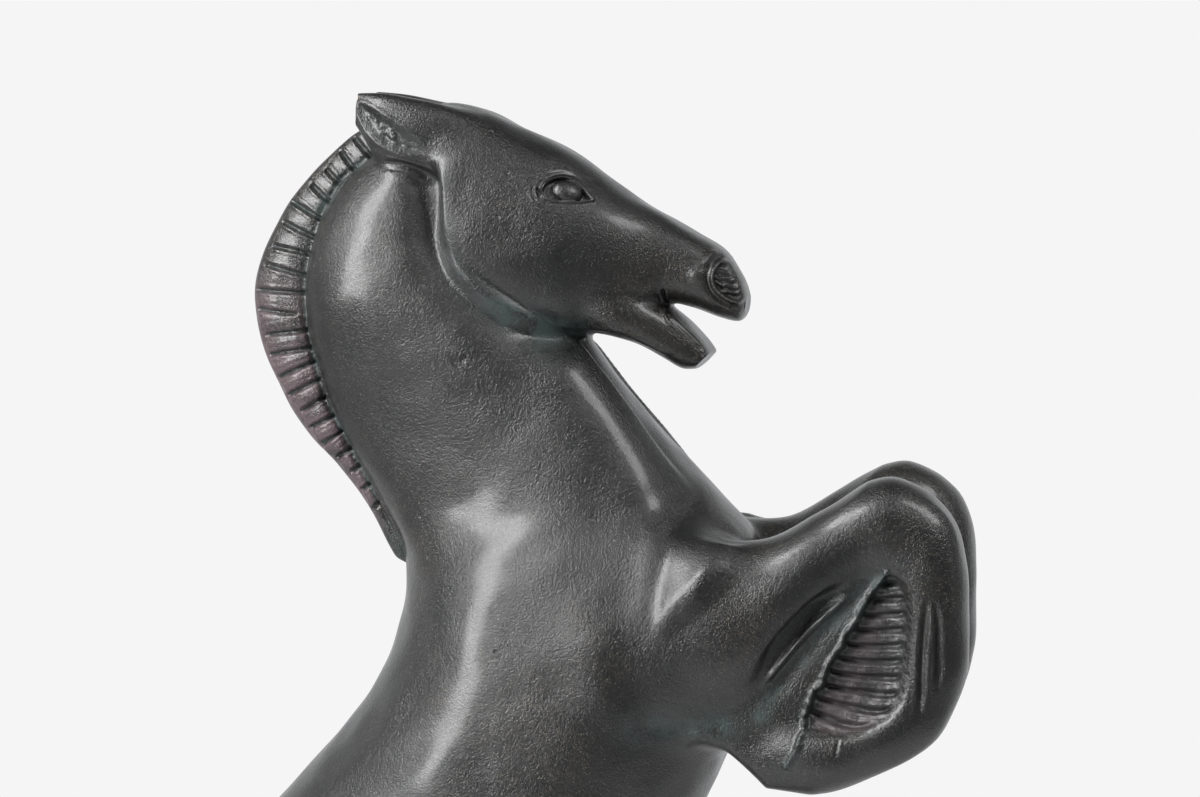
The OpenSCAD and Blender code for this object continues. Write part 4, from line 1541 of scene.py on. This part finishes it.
def patina_group() -> bpy.types.NodeTree:
    """Black patina over bronze: near-black, with warm speckles, teal in creases, plum in places, and painted shade, a
    dark teal grey, in the cut hollows.

    Hollow, worn, plum and verdigris come in; colour, roughness, coat and height go out.

    Returns:
        The group's tree.
    """
    g = SharedGroup.named(
        "Black patina",
        {"Hollow": 0.0, "Worn": 0.0, "Plum": 0.0, "Verdigris": 0.0},
        {"Colour": "Color", "Roughness": "Float", "Coat": "Float", "Height": "Float"},
    )
    hollow, worn, plum, verdigris = (g.inside.outputs[k] for k in ("Hollow", "Worn", "Plum", "Verdigris"))
    place = g.place()
    cloud = g.noise(place, 42.0, 3.0, 0.6)
    patch = g.noise(place, 9.0, 4.0, 0.62)
    grain = g.noise(place, 0.95, 3.0, 0.6)
    fine = g.noise(place, 0.42, 2.0, 0.6)
    warm = g.math("MULTIPLY", g.ramp(cloud, 0.42, 0.62), g.ramp(grain, 0.42, 0.66))
    colour = g.blend(g.ramp(patch, 0.35, 0.7), shade(0.0072, 0.0075, 0.0078), shade(0.0118, 0.0118, 0.0115))
    colour = g.blend(g.math("MULTIPLY", warm, 0.6), colour, shade(0.036, 0.031, 0.024))
    speck = g.math("MULTIPLY", g.ramp(g.cells(place, 0.62), 0.32, 0.1), g.ramp(g.noise(place, 1.7, 2.0), 0.45, 0.6))
    speck = g.math("MULTIPLY", speck, g.ramp(cloud, 0.34, 0.58, 0.2, 1.0))
    colour = g.blend(g.math("MULTIPLY", speck, 0.8), colour, shade(0.205, 0.175, 0.130))
    rub = g.math("MULTIPLY", g.ramp(worn, 0.12, 0.55), g.ramp(patch, 0.3, 0.62))
    colour = g.blend(g.math("MULTIPLY", rub, 0.55), colour, shade(0.048, 0.047, 0.046))
    teal_mask = g.math("MULTIPLY", verdigris, g.ramp(g.math("ADD", patch, g.math("MULTIPLY", grain, 0.45)), 0.56, 0.86))
    colour = g.blend(g.math("MULTIPLY", teal_mask, 0.85), colour, shade(0.044, 0.070, 0.066))
    plum_mask = g.math("MULTIPLY", plum, g.ramp(g.math("ADD", patch, g.math("MULTIPLY", grain, 0.3)), 0.42, 0.72))
    colour = g.blend(g.math("MULTIPLY", plum_mask, 0.9), colour, shade(0.104, 0.070, 0.078))
    colour = g.blend(g.ramp(worn, 1.3, 1.9), colour, shade(0.55, 0.47, 0.38))
    # Painted shade in the cut hollows: they are pulled towards a dark teal grey, part teal patina and part painted
    # crease shade.
    deep = g.ramp(hollow, 0.2, 1.5)
    colour = g.blend(g.math("MULTIPLY", deep, 0.55), colour, shade(0.014, 0.016, 0.016))
    roughness = g.math("ADD", 0.295, g.math("MULTIPLY", g.math("SUBTRACT", patch, 0.5), 0.12))
    roughness = g.math("ADD", roughness, g.math("MULTIPLY", deep, 0.16))
    roughness = g.math("ADD", roughness, g.math("MULTIPLY", teal_mask, 0.22))
    roughness = g.math("ADD", roughness, g.math("MULTIPLY", plum_mask, 0.10))
    roughness = g.math("SUBTRACT", roughness, g.math("MULTIPLY", rub, 0.05), clamp=True)
    coat = g.math("SUBTRACT", 0.5, g.math("MULTIPLY", deep, 0.25))
    coat = g.math("SUBTRACT", coat, g.math("MULTIPLY", teal_mask, 0.4))
    height = g.math("MULTIPLY", grain, 0.8)
    height = g.math("ADD", height, g.math("MULTIPLY", fine, 1.0))
    height = g.math("ADD", height, g.math("MULTIPLY", g.noise(place, 3.6, 2.0), 0.6))
    pits = g.math("MULTIPLY", g.ramp(g.cells(place, 6.5), 0.11, 0.02), g.ramp(g.noise(place, 22.0, 2.0), 0.52, 0.62))
    height = g.math("SUBTRACT", height, g.math("MULTIPLY", pits, 1.3))
    return g.out({"Colour": colour, "Roughness": roughness, "Coat": coat, "Height": height})


def brushed_group() -> bpy.types.NodeTree:
    """Handled bare metal: stains, fine lines round it and small dents.

    Grime comes in; a mask of the stains, roughness and height go out.

    Returns:
        The group's tree.
    """
    g = SharedGroup.named("Handled metal", {"Grime": 0.5}, {"Mask": "Float", "Roughness": "Float", "Height": "Float"})
    place = g.place()
    stain = g.noise(place, 7.0, 4.0, 0.6)
    lines = g.noise(g.add("Mapping", {"Vector": place, "Scale": (1.0, 1.0, 12.0)}).outputs[0], 1.6, 2.0)
    mask = g.math("MULTIPLY", g.ramp(stain, 0.42, 0.68), g.inside.outputs["Grime"])
    roughness = g.math("ADD", g.math("MULTIPLY", stain, 0.25), g.math("MULTIPLY", lines, 0.12))
    height = g.math("ADD", lines, g.math("MULTIPLY", g.noise(place, 3.0, 2.0), 0.8))
    return g.out({"Mask": mask, "Roughness": g.math("ADD", roughness, 0.12), "Height": height})


def marble_group() -> bpy.types.NodeTree:
    """Black stone with pale veins: a warped noise near its middle value makes each vein.

    Vein width comes in; a vein mask, a cloud mask, roughness and height go out.

    Returns:
        The group's tree.
    """
    g = SharedGroup.named(
        "Veined stone", {"Vein width": 0.012},
        {"Veins": "Float", "Clouds": "Float", "Roughness": "Float", "Height": "Float"},
    )
    place = g.place()
    warp = g.add("TexNoise", {"Vector": place, "Scale": 14.0, "Detail": 4.0}).outputs["Color"]
    push = g.add("VectorMath", {0: warp, "Scale": 0.05}, operation="SCALE").outputs[0]
    bent = g.add("VectorMath", {0: place, 1: push}, operation="ADD").outputs[0]
    broad = g.math("ABSOLUTE", g.math("SUBTRACT", g.noise(bent, 95.0, 4.0, 0.55), 0.5))
    thin = g.math("ABSOLUTE", g.math("SUBTRACT", g.noise(bent, 40.0, 5.0, 0.6), 0.52))
    width = g.inside.outputs["Vein width"]
    veins = g.math("SUBTRACT", 1.0, g.math("DIVIDE", broad, width), clamp=True)
    hair = g.math("SUBTRACT", 1.0, g.math("DIVIDE", thin, g.math("MULTIPLY", width, 0.45)), clamp=True)
    present = g.ramp(g.noise(place, 60.0, 3.0), 0.44, 0.62)
    hair = g.math("MULTIPLY", hair, g.math("MULTIPLY", present, 0.55))
    veins = g.math("MAXIMUM", g.math("MULTIPLY", veins, present), hair)
    clouds = g.noise(bent, 30.0, 5.0, 0.65)
    roughness = g.math("ADD", 0.13, g.math("MULTIPLY", g.noise(place, 12.0, 3.0), 0.12))
    height = g.math("ADD", g.math("MULTIPLY", g.noise(place, 4.0, 3.0), 0.5), g.math("MULTIPLY", veins, -0.6))
    return g.out({"Veins": veins, "Clouds": clouds, "Roughness": roughness, "Height": height})


# ---------------------------------------------------------------- finishes


@dataclass
class Finish:
    """A material of the Principled shader, with a bump."""

    name: str
    slot: str
    material: bpy.types.Material = field(init=False)

    def begin(self, **constants: float | Colour) -> tuple[Graph, bpy.types.Node]:
        """A new material's graph and its shader, with the shader's constants set.

        Args:
            constants: The shader's inputs, with underscores for spaces.

        Returns:
            The graph and the shader.
        """
        self.material = bpy.data.materials.new(self.name)
        self.material.use_nodes = True
        tree = self.material.node_tree
        tree.nodes.clear()
        graph = Graph(tree)
        named = {key.replace("_", " "): value for key, value in constants.items()}
        shader = graph.add("BsdfPrincipled", named)
        output = graph.add("OutputMaterial", {"Surface": shader.outputs["BSDF"]})
        output.is_active_output = True
        return graph, shader

    def bump(self, graph: Graph, shader: bpy.types.Node, height: Value, distance: float, strength: float = 1.0) -> None:
        """Feeds a height through a bump to the shader's normal.

        Args:
            graph: The material's graph.
            shader: Its shader.
            height: The height, about 0 to 1.
            distance: How many millimetres one unit of height is.
            strength: How much of the bump shows.
        """
        sockets = {"Height": height, "Distance": distance * MM, "Strength": strength}
        graph.feed(shader.inputs["Normal"], graph.add("Bump", sockets).outputs["Normal"])

    def dress(self, piece: bpy.types.Object) -> None:
        """Gives a piece this finish.

        Args:
            piece: The piece.
        """
        piece.data.materials.clear()
        piece.data.materials.append(self.material)


@dataclass
class PatinatedBronze(Finish):
    """Bronze under a waxed black patina."""

    patina: bpy.types.NodeTree
    grain: float = 0.22
    carved: bool = True

    def __post_init__(self) -> None:
        """Builds the material."""
        graph, shader = self.begin(IOR=1.62, Coat_Roughness=0.2, Coat_IOR=1.42)
        inputs = {}
        if self.carved:
            inputs = {k.capitalize(): graph.attribute(k) for k in ("hollow", "worn", "plum", "verdigris")}
        out = graph.group(self.patina, inputs).outputs
        graph.feed(shader.inputs["Base Color"], out["Colour"])
        graph.feed(shader.inputs["Roughness"], out["Roughness"])
        graph.feed(shader.inputs["Coat Weight"], out["Coat"])
        self.bump(graph, shader, out["Height"], self.grain)


@dataclass
class BareMetal(Finish):
    """Bronze or steel with no patina, as on the fixings inside."""

    handled: bpy.types.NodeTree
    light: Colour = shade(0.55, 0.36, 0.16)
    dark: Colour = shade(0.22, 0.13, 0.06)

    def __post_init__(self) -> None:
        """Builds the material."""
        graph, shader = self.begin(Metallic=1.0)
        out = graph.group(self.handled, {"Grime": 0.8}).outputs
        graph.feed(shader.inputs["Base Color"], graph.blend(out["Mask"], self.light, self.dark))
        graph.feed(shader.inputs["Roughness"], out["Roughness"])
        self.bump(graph, shader, out["Height"], 0.03)


@dataclass
class BlackStone(Finish):
    """Polished black marble."""

    veined: bpy.types.NodeTree

    def __post_init__(self) -> None:
        """Builds the material."""
        graph, shader = self.begin(IOR=1.52, Coat_Roughness=0.06)
        out = graph.group(self.veined, {"Vein width": 0.0075}).outputs
        ground = graph.blend(out["Clouds"], shade(0.006, 0.006, 0.0065), shade(0.020, 0.020, 0.021))
        graph.feed(shader.inputs["Base Color"], graph.blend(out["Veins"], ground, shade(0.26, 0.245, 0.22)))
        graph.feed(shader.inputs["Roughness"], out["Roughness"])
        self.bump(graph, shader, out["Height"], 0.015)


@dataclass
class Felt(Finish):
    """Green wool felt: matted fibres with a soft sheen."""

    def __post_init__(self) -> None:
        """Builds the material."""
        graph, shader = self.begin(Roughness=0.95, Sheen_Weight=0.6, Sheen_Roughness=0.5)
        place = graph.place()
        fibre = graph.noise(place, 1.1, 5.0, 0.75)
        patch = graph.noise(place, 14.0, 3.0)
        mixed = graph.math("ADD", graph.math("MULTIPLY", fibre, 0.7), graph.math("MULTIPLY", patch, 0.3))
        graph.feed(
            shader.inputs["Base Color"], graph.blend(mixed, shade(0.008, 0.032, 0.016), shade(0.026, 0.085, 0.044))
        )
        self.bump(graph, shader, fibre, 0.35)


# ---------------------------------------------------------------- the object's pieces


@dataclass(frozen=True)
class Stance:
    """Where the horse stands in the frame: its own millimetres become metres in the frame."""

    forward: float
    ground: float

    @staticmethod
    def from_frame() -> "Stance":
        """The stance that puts the horse's zero in front of the tail stud's middle, on the terrace's top.

        Returns:
            The stance.
        """
        terrace_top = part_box("terrace_casting")[1].z
        studs_low, studs_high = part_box("tail_stud")
        return Stance((studs_low.x + studs_high.x) / 2.0 + TAIL_STUD_TO_ZERO * MM, terrace_top)

    def metres(self, points: Array) -> Array:
        """Places in the frame, in metres, of points in the horse's millimetres."""
        return points * MM + np.array([self.forward, 0.0, self.ground])


def solid_object(name: str, surface: Surface, places: Array) -> bpy.types.Object:
    """A mesh object from a surface, with its values as attributes and its normals kept.

    Args:
        name: The object's name.
        surface: The surface.
        places: Its points in the frame, in metres.

    Returns:
        The object, linked to the scene and riding on the object's one body.
    """
    mesh = bpy.data.meshes.new(name)
    count = len(surface.triangles)
    mesh.vertices.add(len(places))
    mesh.vertices.foreach_set("co", places.astype(np.float32).ravel())
    mesh.loops.add(3 * count)
    mesh.loops.foreach_set("vertex_index", surface.triangles.astype(np.int32).ravel())
    mesh.polygons.add(count)
    mesh.polygons.foreach_set("loop_start", 3 * np.arange(count, dtype=np.int32))
    mesh.update(calc_edges=True)
    for key, values in surface.values.items():
        if values.ndim == 1 and key != "seam":
            mesh.attributes.new(key, "FLOAT", "POINT").data.foreach_set("value", values.astype(np.float32))
    if "normal" in surface.values:
        mesh.normals_split_custom_set_from_vertices(surface.values["normal"].astype(np.float32))
    made = bpy.data.objects.new(name, mesh)
    bpy.context.scene.collection.objects.link(made)
    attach(made, next(iter(frame["bodies"])))
    return made


@dataclass
class Horse:
    """The rearing horse: its castings, cut from one carved skin."""

    stance: Stance
    finish: PatinatedBronze
    step: float
    pieces: list[bpy.types.Object] = field(default_factory=list)

    NODES: ClassVar[dict[str, str]] = {"neck": Casting.BODY.value, "trunk": Casting.BODY.value}

    def build(self) -> None:
        """Makes the skin and an object for each casting."""
        skin = Skin(self.step)
        skin.shape()
        for name, surface in skin.pieces().items():
            label = name if name in self.NODES else name.replace("_casting", "")
            piece = solid_object("horse_" + label, surface, self.stance.metres(surface.points))
            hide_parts(self.NODES.get(name, name))
            self.finish.dress(piece)
            self.pieces.append(piece)
            log.info("%s: %d triangles", piece.name, len(surface.triangles))


@dataclass
class Terrace:
    """The cast ground under the hooves: a thin slab with rounded corners, modelled by hand."""

    stance: Stance
    finish: PatinatedBronze
    step: float
    corner: float = 12.0
    edge: float = 1.8

    def build(self) -> None:
        """Makes the slab, worked over its top, with a bead of metal round each foot."""
        low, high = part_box("terrace_casting")
        offset = np.array([self.stance.forward, 0.0, self.stance.ground])
        low, high = ((np.array(c) - offset) / MM for c in (low, high))
        block = Block.around(low - 4.0, high + 4.0, self.step)
        x, y, z = block.axes()
        middle, half = (low + high) / 2.0, (high - low) / 2.0
        inner = self.corner - self.edge
        over_x = np.abs(x - middle[0]) - (half[0] - self.corner)
        over_y = np.abs(y - middle[1]) - (half[1] - self.corner)
        plan = np.hypot(np.maximum(over_x, 0.0), np.maximum(over_y, 0.0))
        plan = plan + np.minimum(np.maximum(over_x, over_y), 0.0) - inner
        through = np.abs(z - middle[2]) - (half[2] - self.edge)
        values = np.hypot(np.maximum(plan, 0.0), np.maximum(through, 0.0))
        values = values + np.minimum(np.maximum(plan, through), 0.0) - self.edge
        slab = Field(block, values.astype(np.float32))
        surface = slab.surface()
        surface.points = slab.settle(surface.points, 2)
        self.work(surface)
        piece = solid_object("terrace", surface, self.stance.metres(surface.points))
        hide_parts("terrace_casting")
        self.finish.dress(piece)
        log.info("terrace: %d triangles", len(surface.triangles))

    def work(self, surface: Surface) -> None:
        """Works the slab's top and rim over, and keeps how hollow and worn it is.

        Args:
            surface: The slab's surface, which is changed.
        """
        points, outward = surface.points, surface.normals()
        up = smooth(0.3, 0.9, outward[:, 2])
        x, y = points[:, 0], np.abs(points[:, 1])
        knife = waves(points * np.array([0.35, 1.0, 0.35]), 7.0, 21)
        change = 0.16 * knife + 0.2 * waves(points, 26.0, 22) - 0.1
        change = change * (0.25 + 0.75 * up) * smooth(-7.5, -5.0, points[:, 2])
        for spot_x, spot_y, half_x, half_y in ((-13.0, 25.0, 18.0, 11.5), (-84.0, 0.0, 10.5, 8.8)):
            gap = (np.hypot((x - spot_x) / half_x, (y - spot_y) / half_y) - 1.0) * math.sqrt(half_x * half_y)
            change = change + up * (1.1 * hump(gap - 0.6, 1.6) - 0.35 * hump(gap - 4.2, 1.4))
        surface.points = points + outward * change[:, None]
        surface.values = {
            "normal": surface.normals(),
            # Painted shade: the slab's dips count as hollow, which the patina paints dark teal grey.
            "hollow": np.clip(-change * 1.6, 0.0, 2.0),
            "worn": np.clip(knife * 0.35, -1.0, 0.5) + 0.5 * hump(np.abs(outward[:, 2]) - 0.7, 0.3),
            "plum": np.zeros(len(points)),
            "verdigris": 0.5 * np.clip(-change * 2.0, 0.0, 1.0),
        }


@dataclass
class Fixings:
    """What holds the statuette together, and the stone and the felt under it: CAD pieces, dressed."""

    bronze: Finish
    steel: Finish
    patina: Finish
    stone: Finish
    felt: Finish

    def build(self) -> None:
        """Gives each of these CAD nodes its finish."""
        finishes = {
            "head_joint_pins": self.bronze, "foreleg_joint_pins": self.bronze, "hind_leg_joint_pins": self.bronze,
            "tail_joint_pin": self.bronze, "core_hole_plugs": self.patina, "hoof_studs": self.steel,
            "tail_stud": self.steel, "plinth_washers": self.steel, "plinth_nuts": self.steel,
            "stone_plinth": self.stone, "felt_pad": self.felt,
        }
        for name, finish in finishes.items():
            finish.dress(frame["nodes"][name])
            log.info("%s: %s", name, finish.name)


# ---------------------------------------------------------------- the studio


@dataclass
class Studio:
    """A pale plain floor and backdrop, soft light and the camera."""

    azimuth: float = 8.5
    elevation: float = 4.5
    distance: float = 0.9
    lens: float = 108.0
    pale: Colour = shade(0.920, 0.912, 0.918)
    ambient: float = 0.105
    backlight: float = 0.62

    def aim(self) -> Array:
        """The point that the camera looks at, over the plinth's front half and under the ears."""
        low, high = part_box("stone_plinth")
        return np.array([(low.x + high.x) / 2.0 + 55.0 * MM, 0.0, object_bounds()[1][2] - 76.5 * MM])

    def from_aim(self, azimuth: float, elevation: float, distance: float) -> Array:
        """A point so far from the aim: azimuth 0 is in front, 90 is on the right.

        Args:
            azimuth: Degrees round the object.
            elevation: Degrees above the horizon.
            distance: Metres from the aim.

        Returns:
            The point.
        """
        a, e = math.radians(azimuth), math.radians(elevation)
        way = np.array([math.sin(a) * math.cos(e), -math.cos(a) * math.cos(e), math.sin(e)])
        return self.aim() + distance * way

    def face(self, item: bpy.types.Object, target: Array) -> None:
        """Turns an object so that its -Z axis points at a target."""
        way = Vector(target) - item.location
        item.rotation_euler = way.to_track_quat("-Z", "Y").to_euler()

    def camera(self) -> None:
        """Sets up the scene's camera."""
        data = bpy.data.cameras.new("camera")
        data.lens, data.sensor_width, data.clip_start = self.lens, 36.0, 0.01
        made = bpy.data.objects.new("camera", data)
        bpy.context.scene.collection.objects.link(made)
        made.location = self.from_aim(self.azimuth, self.elevation, self.distance)
        self.face(made, self.aim())
        bpy.context.scene.camera = made

    def softbox(
        self, name: str, azimuth: float, elevation: float, distance: float, size: Point, radiance: float
    ) -> None:
        """A rectangular area light that faces the aim.

        Its power is radiance x pi x area.

        Args:
            name: The light's name.
            azimuth: Degrees round the object.
            elevation: Degrees above the horizon.
            distance: Metres from the aim.
            size: Its width and height, in metres.
            radiance: How bright its face is.
        """
        data = bpy.data.lights.new(name, "AREA")
        data.shape, data.size, data.size_y = "RECTANGLE", size[0], size[1]
        data.energy = radiance * math.pi * size[0] * size[1]
        made = bpy.data.objects.new(name, data)
        bpy.context.scene.collection.objects.link(made)
        made.location = self.from_aim(azimuth, elevation, distance)
        self.face(made, self.aim())
        made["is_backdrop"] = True

    def world(self) -> None:
        """The pale backdrop, and what the metal reflects: bright behind and above, dark in front."""
        world = bpy.data.worlds.new("studio")
        world.use_nodes = True
        world.node_tree.nodes.clear()
        g = Graph(world.node_tree)
        way = g.add("TexCoord").outputs["Generated"]
        a = math.radians(self.azimuth)
        behind = g.add("VectorMath", {0: way, 1: (-math.sin(a), math.cos(a), 0.0)}, operation="DOT_PRODUCT")
        height = g.add("SeparateXYZ", {0: way}).outputs["Z"]
        back = g.math("MULTIPLY", g.ramp(behind.outputs["Value"], 0.1, 0.7), self.backlight)
        dim = g.ramp(height, 0.2, 0.8, 1.0, 0.14)
        bright = g.math("MULTIPLY", g.math("ADD", self.ambient, back), dim)
        seen = g.add("Background", {"Color": self.pale, "Strength": 1.0}).outputs[0]
        lit = g.add("Background", {"Color": shade(0.97, 0.985, 1.0), "Strength": bright}).outputs[0]
        eye = g.add("LightPath").outputs["Is Camera Ray"]
        mixed = g.add("MixShader", {0: eye, 1: lit, 2: seen}).outputs[0]
        g.add("OutputWorld", {"Surface": mixed})
        bpy.context.scene.world = world

    def floor(self) -> None:
        """A pale disc under the object that thins out into the backdrop."""
        sides, radius = 128, 2.2
        angle = 2.0 * math.pi * np.arange(sides) / sides
        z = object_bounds()[0][2]
        ring = np.stack([radius * np.cos(angle), radius * np.sin(angle), np.full(sides, z)], axis=1)
        mesh = bpy.data.meshes.new("floor")
        mesh.from_pydata(ring.tolist(), [], [list(range(sides))])
        made = bpy.data.objects.new("floor", mesh)
        bpy.context.scene.collection.objects.link(made)
        material = bpy.data.materials.new("Pale floor")
        material.use_nodes = True
        material.node_tree.nodes.clear()
        g = Graph(material.node_tree)
        place = g.place()
        reach = g.add("VectorMath", {0: place}, operation="LENGTH").outputs["Value"]
        mottle = g.ramp(g.noise(place, 180.0, 2.0), 0.3, 0.7)
        tone = g.blend(mottle, shade(0.80, 0.80, 0.81), shade(0.82, 0.82, 0.83))
        fading = g.ramp(reach, 0.35, 1.1, 1.0, 0.0)
        shader = g.add("BsdfPrincipled", {"Base Color": tone, "Roughness": 0.85, "Alpha": fading})
        g.add("OutputMaterial", {"Surface": shader.outputs["BSDF"]})
        mesh.materials.append(material)
        made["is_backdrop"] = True

    def build(self) -> None:
        """Sets up the whole studio."""
        self.world()
        self.floor()
        self.softbox("key softbox", -48.0, 25.0, 0.95, (0.3, 0.9), 17.0)
        self.softbox("left fill", -50.0, 48.0, 1.1, (0.8, 0.5), 1.4)
        self.softbox("top softbox", -30.0, 80.0, 0.9, (0.5, 0.5), 0.3)
        self.softbox("right softbox", 62.0, 42.0, 0.95, (0.34, 0.34), 11.0)
        self.softbox("right fill", 80.0, 10.0, 1.1, (0.35, 0.8), 0.5)
        self.camera()
        bpy.context.scene.view_settings.view_transform = "Standard"
        bpy.context.scene.view_settings.look = "None"


def main() -> None:
    """Builds the statuette and its studio, one sub-assembly after another."""
    logging.basicConfig(level=logging.INFO, format="%(name)s: %(message)s")
    patina = patina_group()
    handled = brushed_group()
    bronze = PatinatedBronze("Patinated bronze", "patinated_bronze", patina)
    plain = PatinatedBronze("Patinated bronze, plain", "patinated_bronze", patina, carved=False)
    stance = Stance.from_frame()
    step = FULL_STEP
    Horse(stance, bronze, step).build()
    Terrace(stance, bronze, step * TERRACE_COARSER).build()
    Fixings(
        BareMetal("Bare bronze", "bare_bronze", handled),
        BareMetal("Steel", "steel_fixings", handled, shade(0.56, 0.57, 0.58), shade(0.25, 0.25, 0.26)),
        plain,
        BlackStone("Black stone", "black_stone", marble_group()),
        Felt("Green felt", "green_felt"),
    ).build()
    Studio().build()


if __name__ == "__main__":
    main()
